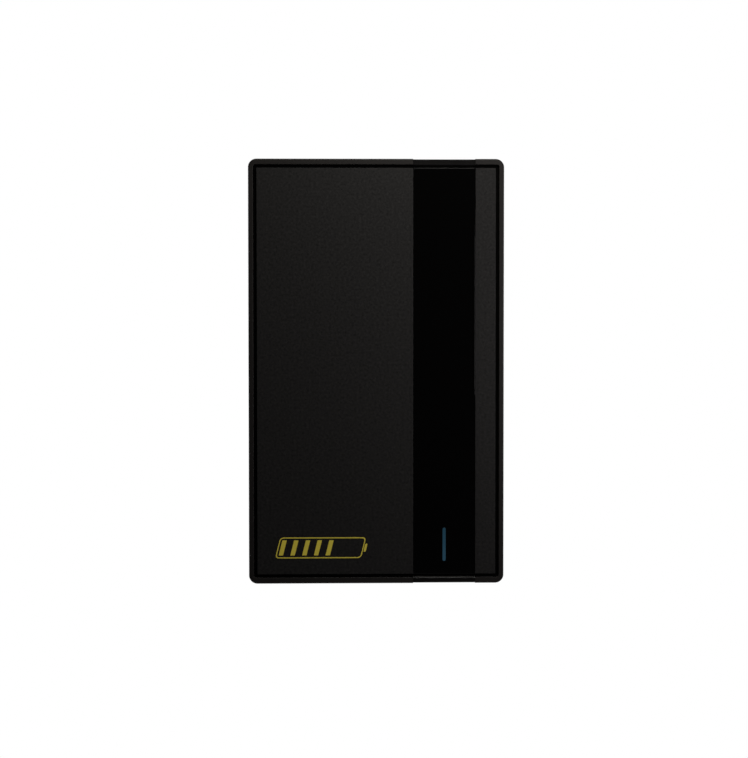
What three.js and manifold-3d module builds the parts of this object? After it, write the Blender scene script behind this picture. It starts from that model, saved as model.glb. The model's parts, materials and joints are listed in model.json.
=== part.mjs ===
// Wall battery unit: a slim cabinet hung on a steel wall bracket, with sixteen large prismatic cells, their
// management board and a connection bay that opens downwards.
// Millimetres, +Z up. The wall is the plane y = 0 and the front faces -Y. The origin is the centre of the
// wall bracket's back face. Heights inside the unit are counted from the unit's bottom edge.

import * as THREE from "three";
import { mergeVertices } from "three/addons/utils/BufferGeometryUtils.js";
import Module from "manifold-3d";

const wasm = await Module();
wasm.setup();

// ---------- driving dimensions ----------

// whole unit, seen from the front
const WIDTH = 510;
const HEIGHT = 848;
const DEPTH = 170;
const CORNER = 17;
const BRACKET_ABOVE_BOTTOM = 640;
const BOTTOM = -BRACKET_ABOVE_BOTTOM;
const TOP = BOTTOM + HEIGHT;
const MIDDLE = (TOP + BOTTOM) / 2;
const FRONT = -DEPTH;

// clearance between pieces that touch
const GAP = 0.3;

// sheet metal casing behind the front cover
const SHEET = 2;
const CASING_INSET = 3;
const CASING_BACK = -12;
const CASING_FRONT = -146;
const CASING_FLANGE = 14;
const CASING_WIDTH = WIDTH - 2 * CASING_INSET;
const CASING_CORNER = CORNER - CASING_INSET;
const MOUTH_CORNER = 6;

// lifting grips let into the casing's sides
const GRIP_HEIGHT = MIDDLE + 130;
const GRIP_FRONT = -129;
const GRIP_BACK = -29;
const GRIP_HALF_HIGH = 20;
const GRIP_CORNER = 8;
const GRIP_DEPTH = 24;
const GRIP_WALL = 2;
const GRIP_FLANGE_WIDE = 7;
const GRIP_FLANGE_THICK = 1.5;

// gasket and the steel plate that closes the casing
const GASKET_THICK = 2.7;
const GASKET_WIDE = 9;
const PLATE_THICK = 1.5;
const PLATE_INSET = 6;
const PLATE_CORNER = 11;
const PLATE_BACK = CASING_FRONT - GASKET_THICK - 2 * GAP;

// moulded front cover
const SKIRT_WALL = 2.5;
const SKIRT_BACK = -140;
const RIM_SIDE = 10;
const RIM_TOP = 11.5;
const RIM_BOTTOM = 12.25;
const RIM_INNER_CORNER = 5;
const RIM_EDGE = 1.2;
const FLOOR_FRONT = -164.7;
const FLOOR_THICK = 3;
const FLOOR_BACK = FLOOR_FRONT + FLOOR_THICK;
const BOSS_RADIUS = 5;
const BOSS_COLUMNS = [-205, 0, 205];
const BOSS_ROWS = [BOTTOM + 60, MIDDLE, TOP - 60];

// front panels and the gloss band between them
const PANEL_BACK = FLOOR_FRONT - GAP;
const PANEL_SIDE = 238.3;
const PANEL_TOP = TOP - 18.3;
const PANEL_BOTTOM = BOTTOM + 19;
const PANEL_EDGE = 0.8;
const PANEL_CORNER = 1.5;
const JOINT_HALF = 0.2;
const BAND_LEFT = 73.7;
const BAND_RIGHT = 197.5;
const CAP_RIM_TOP = 13.4;
const CAP_RIM_BOTTOM = 14.2;
const CAP_WALL = 1.5;
const CAP_EDGE = 3.2;
const BAND_CUT_LEFT = BAND_LEFT - GAP;
const BAND_CUT_RIGHT = BAND_RIGHT + GAP;

// status light
const LIGHT_X = (BAND_LEFT + BAND_RIGHT) / 2;
const LIGHT_LOW = BOTTOM + 44.7;
const LIGHT_HIGH = BOTTOM + 111.6;
const LIGHT_WIDE = 6.3;

// battery cells: two columns, four rows, two layers; each cell lies with its terminals facing outwards
const CELL_WIDE = 174;
const CELL_HIGH = 207;
const CELL_THICK = 54;
const CELL_ROWS = 4;
const ROW_SPACE = 3;
const COLUMN_HALF_SPACE = 2;
const TERMINAL_RADIUS = 11;
const TERMINAL_HIGH = 3;
const TERMINAL_SPREAD = 61;
const SHEET_BACK = CASING_BACK - SHEET - GAP;
const INSULATION = 1.4;
const BACK_LAYER = SHEET_BACK - INSULATION - GAP;
const DIVIDER = 0.9;
const FRONT_LAYER = BACK_LAYER - CELL_THICK - DIVIDER - 2 * GAP;
const BLOCK_BOTTOM = BOTTOM + 129;
const BLOCK_HIGH = CELL_ROWS * CELL_WIDE + (CELL_ROWS - 1) * ROW_SPACE;
const BLOCK_TOP = BLOCK_BOTTOM + BLOCK_HIGH;
const CELL_FACE = COLUMN_HALF_SPACE + CELL_HIGH;
const CARRIER_FACE = CELL_FACE + TERMINAL_HIGH + GAP;
const CARRIER_THICK = 4;
const BUSBAR_THICK = 3;
const BUSBAR_WIDE = 26;
const BUSBAR_FACE = CARRIER_FACE + CARRIER_THICK + BUSBAR_THICK;

// management board, above the bay
const BOARD_BACK = -136;
const BOARD_THICK = 1.6;
const BOARD_LOW = BOTTOM + 66;
const BOARD_HIGH = BOTTOM + 116;

// fuse, shunt and leads
const FUSE_X = 100;
const FUSE_HALF_LONG = 52;
const FUSE_Y = -48;
const FUSE_Z = BOTTOM + 94;
const SHUNT_Y = -54;
const SHUNT_Z = BOTTOM + 98;
const CABLE_RADIUS = 5.5;

// connection bay in the bottom
const BAY_HALF_WIDE = 230;
const BAY_FRONT = -130;
const BAY_BACK = -30;
const BAY_CEILING = BOTTOM + 58;
const BAY_MIDDLE = (BAY_FRONT + BAY_BACK) / 2;

// devices in the bay, from left to right
const NEGATIVE_X = -190;
const POSITIVE_X = -138;
const BREAKER_X = -72;
const POWER_X = -8;
const RESET_X = 26;
const PORTS_X = 92;
const STUD_X = 160;
const VENT_X = 200;

// breaker
const BREAKER_WIDE = 54;
const BREAKER_LONG = 84;
const BREAKER_TOP = BOTTOM + 114;
const NOSE_WIDE = 44;
const NOSE_LONG = 46;
const NOSE_FACE = BOTTOM + 50;
const TOGGLE_AXIS = BOTTOM + 57;
const TOGGLE_DRUM = 8;
const TOGGLE_LONG = 20;
const TOGGLE_TILT = -40;

// round power receptacles
const SOCKET_MOUTH = BOTTOM + 28;
const SOCKET_SEAT = BOTTOM + 46;
const TAIL_TOP = BOTTOM + 84;
const TAIL_RADIUS = 7.5;

// power button and reset pin
const BUTTON_FACE = BOTTOM + 53.2;
const BUTTON_BACK = BOTTOM + 62;
const BUTTON_RADIUS = 5.4;
const BORE_TOP = BOTTOM + 66;
const BARREL_RADIUS = 8.2;
const BARREL_TOP = BOTTOM + 82;
const PIN_RADIUS = 2;

// data sockets
const PORT_COUNT = 4;
const PORT_PITCH = 15;
const PORT_FACE = BOTTOM + 55;
const PORT_WIDE = 12;
const PORT_HIGH = 9;
const PORT_DEPTH = 14;

// earth stud and pressure vent
const STUD_RADIUS = 3;
const NUT_RADIUS = 5.8;
const VENT_NECK = 6.2;

// wall bracket and the rail that hangs on it
const BRACKET_HALF_WIDE = 190;
const BRACKET_LOW = -70;
const BRACKET_SHELF = 60;
const BRACKET_LIP = 82;
const STEEL = 3;
const LIP_OFFSET = 6.3;
const RAIL_HALF_WIDE = 170;
const RAIL_TOP = 140;
const TONGUE_LOW = 64;
const TONGUE_BACK = -2.8;
const BOLT_X = 150;
const BOLT_HEIGHTS = [-45, 30];
const BOLT_RADIUS = 4;
const WINDOW_INNER = 32;
const WINDOW_OUTER = 108;
const WINDOW_LOW = -48;
const WINDOW_HIGH = 30;
const WINDOW_CORNER = 8;

// rubber stops between the casing and the wall
const BUMPER_X = 190;
const BUMPER_Z = BOTTOM + 62;
const BUMPER_RADIUS = 19;
const BUMPER_NOSE = 15;

// round pieces
const MANY_SIDES = 36;
const SIDES = 20;
const FEW_SIDES = 10;
const CORNER_STEPS = 3;
const SMALL_CORNER_STEPS = 1;

// ---------- materials ----------

function material(color, roughness, metalness) {
  return new THREE.MeshStandardMaterial({ color, roughness, metalness });
}

const POWDER_COAT = material(0x1c1b1b, 0.6, 0.1);
const COVER_PLASTIC = material(0x1f1d1c, 0.5, 0);
const MATTE_PANEL = material(0x1e1d1d, 0.7, 0);
const GLOSS_BLACK = material(0x030303, 0.08, 0);
const LIGHT_CYAN = new THREE.MeshStandardMaterial({ color: 0x1c3641, roughness: 0.3, emissive: 0x1c3641 });
const ZINC_STEEL = material(0xa9adb0, 0.35, 1);
const RUBBER = material(0x111111, 0.85, 0);
const CELL_FILM = material(0x1d4f8f, 0.4, 0.1);
const INSULATOR = material(0xd8d2b8, 0.6, 0);
const CARRIER_PLASTIC = material(0x2a2a2c, 0.6, 0);
const COPPER = material(0xb87345, 0.3, 1);
const BRASS = material(0xc9a24a, 0.3, 1);
const BOARD_GREEN = material(0x14502f, 0.45, 0);
const ALUMINIUM = material(0xb9bcc0, 0.35, 1);
const DEVICE_GREY = material(0xd6d7d4, 0.5, 0);
const DEVICE_BLACK = material(0x151515, 0.5, 0);
const DEVICE_ORANGE = material(0xe0651a, 0.5, 0);

// ---------- solids ----------

// A closed geometry as a solid that can be joined and cut.
function solid(geometry) {
  geometry.deleteAttribute("normal");
  geometry.deleteAttribute("uv");
  const merged = mergeVertices(geometry, 1e-3);
  return new wasm.Manifold(
    new wasm.Mesh({
      numProp: 3,
      vertProperties: merged.attributes.position.array,
      triVerts: new Uint32Array(merged.index.array),
    }),
  );
}

// The mesh of a solid.
function geometryOf(body) {
  const mesh = body.getMesh();
  const geometry = new THREE.BufferGeometry();
  geometry.setAttribute("position", new THREE.BufferAttribute(mesh.vertProperties, 3));
  geometry.setIndex(new THREE.BufferAttribute(mesh.triVerts, 1));
  geometry.computeVertexNormals();
  return geometry;
}

// How a flat shape and its depth turn into each extrusion direction.
// Along x the shape holds (y, z), along y it holds (x, z) and along z it holds (x, y).
const TURN = {
  x: new THREE.Matrix4().makeBasis(
    new THREE.Vector3(0, 1, 0), new THREE.Vector3(0, 0, 1), new THREE.Vector3(1, 0, 0)),
  y: new THREE.Matrix4().makeBasis(
    new THREE.Vector3(1, 0, 0), new THREE.Vector3(0, 0, 1), new THREE.Vector3(0, -1, 0)),
  z: new THREE.Matrix4(),
};

// A shape extruded along an axis between two stations, with an optional chamfer inside its outline.
function prism(axis, shape, low, high, edge = 0, steps = CORNER_STEPS) {
  const geometry = new THREE.ExtrudeGeometry(shape, {
    depth: high - low - 2 * edge,
    curveSegments: steps,
    bevelEnabled: edge > 0,
    bevelThickness: edge,
    bevelSize: edge,
    bevelOffset: -edge,
    bevelSegments: 1,
  });
  geometry.translate(0, 0, edge);
  geometry.applyMatrix4(TURN[axis]);
  const start = axis === "y" ? high : low;
  const offset = { x: 0, y: 0, z: 0, [axis]: start };
  geometry.translate(offset.x, offset.y, offset.z);
  return solid(geometry);
}

function polygon(points) {
  return new THREE.Shape(points.map(([a, b]) => new THREE.Vector2(a, b)));
}

// A rectangle with round corners between two corners.
function roundRect(a0, a1, b0, b1, radius) {
  const shape = new THREE.Shape();
  const quarter = Math.PI / 2;
  shape.absarc(a1 - radius, b0 + radius, radius, -quarter, 0);
  shape.absarc(a1 - radius, b1 - radius, radius, 0, quarter);
  shape.absarc(a0 + radius, b1 - radius, radius, quarter, 2 * quarter);
  shape.absarc(a0 + radius, b0 + radius, radius, 2 * quarter, 3 * quarter);
  shape.closePath();
  return shape;
}

// The unit's outline drawn in by a distance, as a shape in x and z.
function outline(inset, radius) {
  return roundRect(inset - WIDTH / 2, WIDTH / 2 - inset, BOTTOM + inset, TOP - inset, radius);
}

function box(x0, x1, y0, y1, z0, z1) {
  const geometry = new THREE.BoxGeometry(x1 - x0, y1 - y0, z1 - z0);
  geometry.translate((x0 + x1) / 2, (y0 + y1) / 2, (z0 + z1) / 2);
  return solid(geometry);
}

// A cylinder along an axis, centred on the point given in the other two directions.
function cylinder(axis, radius, low, high, a, b, sides = SIDES) {
  const geometry = new THREE.CylinderGeometry(radius, radius, high - low, sides);
  geometry.rotateX(Math.PI / 2);
  geometry.translate(a, b, axis === "y" ? (high - low) / 2 : (low + high) / 2);
  if (axis === "y") {
    geometry.applyMatrix4(TURN.y);
    geometry.translate(0, high, 0);
  } else {
    geometry.applyMatrix4(TURN[axis]);
  }
  return solid(geometry);
}

// A turned piece about a vertical axis; its profile is a list of radius and height.
function turned(profile, x, y, sides = SIDES) {
  const points = profile.map(([radius, height]) => new THREE.Vector2(radius, height));
  const geometry = new THREE.LatheGeometry(points, sides);
  geometry.rotateX(Math.PI / 2);
  geometry.translate(x, y, 0);
  return solid(geometry);
}

// A round cable through a list of points.
function cable(points, radius) {
  const path = new THREE.CatmullRomCurve3(points.map(([x, y, z]) => new THREE.Vector3(x, y, z)));
  const section = new THREE.Shape();
  section.absarc(0, 0, radius, 0, 2 * Math.PI);
  const geometry = new THREE.ExtrudeGeometry(section, {
    steps: 4 * (points.length - 1),
    curveSegments: 4,
    extrudePath: path,
  });
  return solid(geometry);
}

function join(...bodies) {
  return bodies.reduce((sum, body) => sum.add(body));
}

// ---------- the object ----------

const unit = new THREE.Group();

function addPiece(name, body, look) {
  const mesh = new THREE.Mesh(geometryOf(body), look);
  mesh.name = name;
  unit.add(mesh);
  return mesh;
}

// ---------- wall side ----------

// Folded steel plate with an upturned lip that stands off the wall, four bolt holes and two windows.
function wallBracket() {
  const profile = polygon([
    [0, BRACKET_LOW],
    [0, BRACKET_SHELF],
    [-LIP_OFFSET, BRACKET_SHELF],
    [-LIP_OFFSET, BRACKET_LIP],
    [-LIP_OFFSET - STEEL, BRACKET_LIP],
    [-LIP_OFFSET - STEEL, BRACKET_SHELF - STEEL],
    [-STEEL, BRACKET_SHELF - STEEL],
    [-STEEL, BRACKET_LOW],
  ]);
  let plate = prism("x", profile, -BRACKET_HALF_WIDE, BRACKET_HALF_WIDE);
  for (const side of [-1, 1]) {
    const low = Math.min(side * WINDOW_INNER, side * WINDOW_OUTER);
    const wide = WINDOW_OUTER - WINDOW_INNER;
    const window = roundRect(low, low + wide, WINDOW_LOW, WINDOW_HIGH, WINDOW_CORNER);
    plate = plate.subtract(prism("y", window, -2 * STEEL, STEEL));
    for (const height of BOLT_HEIGHTS) {
      plate = plate.subtract(cylinder("y", BOLT_RADIUS + 1, -2 * STEEL, STEEL, side * BOLT_X, height));
    }
  }
  return plate;
}

// Hexagon bolt with its washer; the shank ends flush with the wall plane.
function wallBolt(x, z) {
  const washerRadius = 9;
  const washerThick = 1.6;
  const headRadius = 7.5;
  const headHigh = 5.3;
  const washerBack = -STEEL - GAP;
  const washerFront = washerBack - washerThick;
  const shank = cylinder("y", BOLT_RADIUS, washerFront, 0, x, z, FEW_SIDES);
  const washer = cylinder("y", washerRadius, washerFront, washerBack, x, z);
  const head = cylinder("y", headRadius, washerFront - headHigh, washerFront, x, z, 6);
  return join(shank, washer, head);
}

// Folded rail on the casing's back; its tongue hooks down behind the bracket's lip.
function hangerRail() {
  const face = CASING_BACK + GAP;
  const webLow = BRACKET_LIP + GAP;
  const profile = polygon([
    [face, webLow],
    [face, RAIL_TOP],
    [face + STEEL, RAIL_TOP],
    [face + STEEL, webLow + STEEL],
    [TONGUE_BACK, webLow + STEEL],
    [TONGUE_BACK, TONGUE_LOW],
    [TONGUE_BACK - STEEL, TONGUE_LOW],
    [TONGUE_BACK - STEEL, webLow],
  ]);
  return prism("x", profile, -RAIL_HALF_WIDE, RAIL_HALF_WIDE);
}

// Rubber stop between the casing's back and the wall.
function rearBumper(x) {
  const step = CASING_BACK / 3;
  const body = cylinder("y", BUMPER_RADIUS, CASING_BACK + GAP, step, x, BUMPER_Z);
  const nose = cylinder("y", BUMPER_NOSE, step - 1, 0, x, BUMPER_Z);
  return join(body, nose);
}

// ---------- casing ----------

// The grip's outline, drawn out by a distance.
function gripShape(spread, radius) {
  return roundRect(
    GRIP_FRONT - spread, GRIP_BACK + spread,
    GRIP_HEIGHT - GRIP_HALF_HIGH - spread, GRIP_HEIGHT + GRIP_HALF_HIGH + spread, radius);
}

// Deep tray with round corners and an inward front flange, open at the bottom bay and at both grips.
function rearCasing() {
  const clear = 2;
  const shell = prism("y", outline(CASING_INSET, CASING_CORNER), CASING_FRONT, CASING_BACK);
  const inner = outline(CASING_INSET + SHEET, CASING_CORNER - SHEET);
  const hollow = prism("y", inner, CASING_FRONT + SHEET, CASING_BACK - SHEET);
  const mouthOutline = outline(CASING_INSET + CASING_FLANGE, MOUTH_CORNER);
  const mouth = prism("y", mouthOutline, CASING_FRONT - SHEET, CASING_FRONT + 2 * SHEET);
  const bay = box(
    -BAY_HALF_WIDE - clear, BAY_HALF_WIDE + clear, BAY_FRONT - clear, BAY_BACK + clear,
    BOTTOM, BOTTOM + CASING_INSET + 2 * SHEET);
  const grips = prism("x", gripShape(0.5, GRIP_CORNER + 0.5), -WIDTH / 2, WIDTH / 2);
  return shell.subtract(hollow).subtract(mouth).subtract(bay).subtract(grips);
}

// Plastic cup let into the casing's side, for lifting the unit.
function sideGrip(side) {
  const wallFace = CASING_WIDTH / 2;
  const flangeBack = wallFace + GAP;
  const flangeFace = flangeBack + GRIP_FLANGE_THICK;
  const bottom = wallFace - GRIP_DEPTH;
  const layer = (shape, near, far) =>
    prism("x", shape, Math.min(side * near, side * far), Math.max(side * near, side * far));
  const flangeCorner = GRIP_CORNER + GRIP_FLANGE_WIDE / 2;
  const flange = layer(gripShape(GRIP_FLANGE_WIDE, flangeCorner), flangeBack, flangeFace);
  const cup = layer(gripShape(0, GRIP_CORNER), bottom, flangeFace);
  const room = gripShape(-GRIP_WALL, GRIP_CORNER - GRIP_WALL);
  const hollow = layer(room, bottom + GRIP_WALL, flangeFace + GRIP_WALL);
  return join(flange, cup).subtract(hollow);
}

// Foam ring on the casing's flange.
function casingGasket() {
  const high = CASING_FRONT - GAP;
  const ring = prism("y", outline(PLATE_INSET, PLATE_CORNER), high - GASKET_THICK, high);
  const inner = outline(PLATE_INSET + GASKET_WIDE, PLATE_CORNER - GASKET_WIDE + SHEET);
  return ring.subtract(prism("y", inner, high - 2 * GASKET_THICK, high + GASKET_THICK));
}

// Steel plate that closes the casing, with a hole for the light's lead.
function closingPlate() {
  const leadRadius = 8;
  const leadHeight = LIGHT_HIGH + 40;
  const plate = prism("y", outline(PLATE_INSET, PLATE_CORNER), PLATE_BACK - PLATE_THICK, PLATE_BACK);
  const hole = cylinder(
    "y", leadRadius, PLATE_BACK - 2 * PLATE_THICK, PLATE_BACK + PLATE_THICK, LIGHT_X, leadHeight);
  return plate.subtract(hole);
}

// ---------- front cover ----------

function lightSlot(spread) {
  const half = LIGHT_WIDE / 2 + spread;
  return roundRect(LIGHT_X - half, LIGHT_X + half, LIGHT_LOW - spread, LIGHT_HIGH + spread, half);
}

// Moulded cover: rim, floor behind the panels, skirt round the casing, bosses and two notches for the caps.
function frontCover() {
  const block = prism("y", outline(0, CORNER), FRONT, SKIRT_BACK, RIM_EDGE);
  const pocket = roundRect(
    RIM_SIDE - WIDTH / 2, WIDTH / 2 - RIM_SIDE, BOTTOM + RIM_BOTTOM, TOP - RIM_TOP, RIM_INNER_CORNER);
  const face = prism("y", pocket, FRONT - 1, FLOOR_FRONT);
  const back = prism("y", outline(SKIRT_WALL, CORNER - SKIRT_WALL), FLOOR_BACK, SKIRT_BACK + 1);
  let cover = block.subtract(face).subtract(back);
  const notches = [
    [FLOOR_FRONT, TOP - CAP_RIM_TOP - GAP, TOP + 1],
    [SKIRT_BACK + 1, TOP - CASING_INSET, TOP + 1],
    [FLOOR_FRONT, BOTTOM - 1, BOTTOM + CAP_RIM_BOTTOM + GAP],
    [SKIRT_BACK + 1, BOTTOM - 1, BOTTOM + CASING_INSET],
  ];
  for (const [back, low, high] of notches) {
    cover = cover.subtract(box(BAND_CUT_LEFT, BAND_CUT_RIGHT, FRONT - 1, back, low, high));
  }
  const bossTip = PLATE_BACK - PLATE_THICK - GAP;
  for (const x of BOSS_COLUMNS) {
    for (const z of BOSS_ROWS) {
      cover = cover.add(cylinder("y", BOSS_RADIUS, FLOOR_BACK - 1, bossTip, x, z, FEW_SIDES));
    }
  }
  return cover.subtract(prism("y", lightSlot(GAP), FLOOR_FRONT - 1, FLOOR_BACK + 1));
}

// Trim that carries the band over the top (side 1) or the bottom (side -1) edge of the cover.
function bandCap(side) {
  const edge = side > 0 ? TOP : BOTTOM;
  const rim = side > 0 ? CAP_RIM_TOP : CAP_RIM_BOTTOM;
  const under = CASING_INSET - GAP;
  const outer = under - CAP_WALL;
  const at = (distance) => edge - side * distance;
  const profile = polygon([
    [FRONT + RIM_EDGE, at(outer)],
    [SKIRT_BACK, at(outer)],
    [SKIRT_BACK, at(under)],
    [PANEL_BACK, at(under)],
    [PANEL_BACK, at(rim)],
    [FRONT + CAP_EDGE, at(rim)],
    [FRONT, at(rim - CAP_EDGE)],
    [FRONT, at(outer + RIM_EDGE)],
  ]);
  return prism("x", profile, BAND_LEFT, BAND_RIGHT);
}

function frontPanel(x0, x1, z0, z1) {
  const shape = roundRect(x0, x1, z0, z1, PANEL_CORNER);
  return prism("y", shape, FRONT, PANEL_BACK, PANEL_EDGE, SMALL_CORNER_STEPS);
}

function glossStrip() {
  const strip = frontPanel(BAND_LEFT + JOINT_HALF, BAND_RIGHT - JOINT_HALF, PANEL_BOTTOM, PANEL_TOP);
  return strip.subtract(prism("y", lightSlot(GAP), FRONT - 1, PANEL_BACK + 1));
}

// Acrylic bar that shows the state of charge; it passes the strip and the cover's floor.
function lightGuide() {
  return prism("y", lightSlot(0), FRONT, FLOOR_BACK);
}

// Narrow circuit board with its plug, behind the guide.
function lightBoard() {
  const half = 8;
  const beyond = 12;
  const plugHalf = 5;
  const plugDeep = 4;
  const front = FLOOR_BACK + GAP;
  const back = front + BOARD_THICK;
  const board = box(LIGHT_X - half, LIGHT_X + half, front, back, LIGHT_LOW - beyond, LIGHT_HIGH + beyond);
  const plugTop = LIGHT_HIGH + 2 * plugHalf;
  const plug = box(LIGHT_X - plugHalf, LIGHT_X + plugHalf, back - 0.5, back + plugDeep, LIGHT_HIGH, plugTop);
  return join(board, plug);
}

// ---------- battery block ----------

// Prismatic cell with its two terminal pads on the outer side.
function cell(side, row, layerBack) {
  const canCorner = 3;
  const inner = side * COLUMN_HALF_SPACE;
  const outer = side * CELL_FACE;
  const low = BLOCK_BOTTOM + row * (CELL_WIDE + ROW_SPACE);
  const middle = low + CELL_WIDE / 2;
  const can = roundRect(layerBack - CELL_THICK, layerBack, low, low + CELL_WIDE, canCorner);
  let body = prism("x", can, Math.min(inner, outer), Math.max(inner, outer), 0, SMALL_CORNER_STEPS);
  const padLow = side > 0 ? CELL_FACE - 1 : -CELL_FACE - TERMINAL_HIGH;
  for (const turn of [-1, 1]) {
    const pad = cylinder(
      "x", TERMINAL_RADIUS, padLow, padLow + TERMINAL_HIGH + 1,
      layerBack - CELL_THICK / 2, middle + turn * TERMINAL_SPREAD, FEW_SIDES);
    body = body.add(pad);
  }
  return body;
}

function addCells() {
  let number = 1;
  for (const side of [-1, 1]) {
    for (const layer of [BACK_LAYER, FRONT_LAYER]) {
      for (let row = 0; row < CELL_ROWS; row += 1) {
        addPiece("cell_" + String(number).padStart(2, "0"), cell(side, row, layer), CELL_FILM);
        number += 1;
      }
    }
  }
}

// A sheet as large as the block, drawn out sideways by a distance.
function blockSheet(y0, y1, spread) {
  const above = ROW_SPACE;
  return box(-CELL_FACE - spread, CELL_FACE + spread, y0, y1, BLOCK_BOTTOM - above, BLOCK_TOP + above);
}

// Pressed steel plate that clamps the block against the casing's back, with a window over each cell.
function clampPlate() {
  const windowHalfWide = 36;
  const windowHalfHigh = 30;
  const windowCorner = 10;
  const back = FRONT_LAYER - CELL_THICK - GAP;
  let plate = blockSheet(back - SHEET, back, 0);
  for (const side of [-1, 1]) {
    for (let row = 0; row < CELL_ROWS; row += 1) {
      const x = side * (CELL_FACE + COLUMN_HALF_SPACE) / 2;
      const z = BLOCK_BOTTOM + row * (CELL_WIDE + ROW_SPACE) + CELL_WIDE / 2;
      const window = roundRect(
        x - windowHalfWide, x + windowHalfWide, z - windowHalfHigh, z + windowHalfHigh, windowCorner);
      plate = plate.subtract(prism("y", window, back - 2 * SHEET, back + SHEET));
    }
  }
  return plate;
}

// Insulating carrier over one column's terminals with its links: three along each layer, one across at the
// top and an output pad at the foot of each layer.
function busbarCarrier(side) {
  const slabHalf = 22;
  const half = BUSBAR_WIDE / 2;
  const backY = BACK_LAYER - CELL_THICK / 2;
  const frontY = FRONT_LAYER - CELL_THICK / 2;
  const face = CARRIER_FACE + CARRIER_THICK;
  const slab = (near, far, y0, y1, z0, z1) =>
    box(Math.min(side * near, side * far), Math.max(side * near, side * far), y0, y1, z0, z1);
  let body = slab(CARRIER_FACE, face, frontY - slabHalf, backY + slabHalf, BLOCK_BOTTOM, BLOCK_TOP);
  const addBar = (y0, y1, z0, z1) => {
    body = body.add(slab(face - 1, face + BUSBAR_THICK, y0, y1, z0, z1));
  };
  for (const y of [backY, frontY]) {
    for (let row = 0; row + 1 < CELL_ROWS; row += 1) {
      const joint = BLOCK_BOTTOM + (row + 1) * (CELL_WIDE + ROW_SPACE) - ROW_SPACE / 2;
      const reach = CELL_WIDE / 2 - TERMINAL_SPREAD + half;
      addBar(y - half, y + half, joint - reach, joint + reach);
    }
    const foot = BLOCK_BOTTOM + CELL_WIDE / 2 - TERMINAL_SPREAD;
    addBar(y - half, y + half, foot - half, foot + half);
  }
  const head = BLOCK_TOP - CELL_WIDE / 2 + TERMINAL_SPREAD;
  addBar(frontY - half, backY + half, head - half, head + half);
  return body;
}

// Copper bar under the block that joins the two columns.
function columnLink() {
  const below = 9;
  const y = FRONT_LAYER - CELL_THICK / 2;
  const inner = BUSBAR_FACE + GAP;
  const outer = inner + BUSBAR_THICK;
  const low = BLOCK_BOTTOM - below;
  const high = BLOCK_BOTTOM + CELL_WIDE / 2 - TERMINAL_SPREAD + BUSBAR_WIDE / 2;
  const profile = polygon([
    [-outer, high], [-outer, low], [outer, low], [outer, high],
    [inner, high], [inner, low + BUSBAR_THICK], [-inner, low + BUSBAR_THICK], [-inner, high],
  ]);
  return prism("y", profile, y - BUSBAR_WIDE / 2, y + BUSBAR_WIDE / 2);
}

// ---------- management electronics, above the bay ----------

// Circuit board with a row of eight transistors and a plug.
function bmsBoard() {
  const left = -20;
  const right = 225;
  const chipCount = 8;
  const chipPitch = 24;
  const chipWide = 14;
  const chipHigh = 10;
  const chipDeep = 4.5;
  const chipLow = BOARD_LOW + 12;
  const plugDeep = 8;
  const front = BOARD_BACK - BOARD_THICK;
  const sunk = front + 0.5;
  let board = box(left, right, front, BOARD_BACK, BOARD_LOW, BOARD_HIGH);
  for (let index = 0; index < chipCount; index += 1) {
    const x = 20 + index * chipPitch;
    board = board.add(box(x, x + chipWide, front - chipDeep, sunk, chipLow, chipLow + chipHigh));
  }
  const plug = box(left + 8, left + 30, front - plugDeep, sunk, BOARD_HIGH - 22, BOARD_HIGH - 6);
  return join(board, plug);
}

// Finned aluminium bar behind the board's power transistors; the fins stand upright.
function bmsHeatsink() {
  const left = 20;
  const right = 220;
  const baseThick = 5;
  const finReach = 24;
  const finPitch = 18;
  const finThick = 2.5;
  const front = BOARD_BACK + GAP;
  const base = front + baseThick;
  const low = BOARD_LOW + 2;
  const high = BOARD_HIGH - 2;
  let sink = box(left, right, front, base, low, high);
  for (let x = left; x < right; x += finPitch) {
    sink = sink.add(box(x, x + finThick, base - 1, front + finReach, low, high));
  }
  return sink;
}

// Fuse with a round body between two blades.
function mainFuse() {
  const bodyHalf = 30;
  const bodyRadius = 12;
  const bladeHalfWide = 10;
  const bladeHalfThick = 1.5;
  const body = cylinder("x", bodyRadius, FUSE_X - bodyHalf, FUSE_X + bodyHalf, FUSE_Y, FUSE_Z);
  const blades = box(
    FUSE_X - FUSE_HALF_LONG, FUSE_X + FUSE_HALF_LONG, FUSE_Y - bladeHalfWide, FUSE_Y + bladeHalfWide,
    FUSE_Z - bladeHalfThick, FUSE_Z + bladeHalfThick);
  return join(body, blades);
}

// Current shunt: two brass blocks joined by a thin resistive bridge.
function currentShunt() {
  const left = -222;
  const right = -144;
  const blockLong = 26;
  const blockHalfWide = 14;
  const blockHigh = 14;
  const bridgeHalfWide = 10;
  const bridgeLow = SHUNT_Z + 5;
  const bridgeThick = 3;
  const block = (x) =>
    box(x, x + blockLong, SHUNT_Y - blockHalfWide, SHUNT_Y + blockHalfWide, SHUNT_Z, SHUNT_Z + blockHigh);
  const bridge = box(
    left + blockLong - 1, right - blockLong + 1, SHUNT_Y - bridgeHalfWide, SHUNT_Y + bridgeHalfWide,
    bridgeLow, bridgeLow + bridgeThick);
  return join(block(left), block(right - blockLong), bridge);
}

// Lead from the right column's output pad down to the fuse.
function positiveCable() {
  const x = BUSBAR_FACE + 8;
  const y = BACK_LAYER - CELL_THICK / 2;
  return cable([
    [x, y, BLOCK_BOTTOM + 40],
    [x, y, BLOCK_BOTTOM + 5],
    [x, y - 2, FUSE_Z + 18],
    [x - 20, y - 5, FUSE_Z + 1],
    [x - 44, y - 5, FUSE_Z],
    [FUSE_X + FUSE_HALF_LONG + 8, FUSE_Y, FUSE_Z],
  ], CABLE_RADIUS);
}

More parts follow.
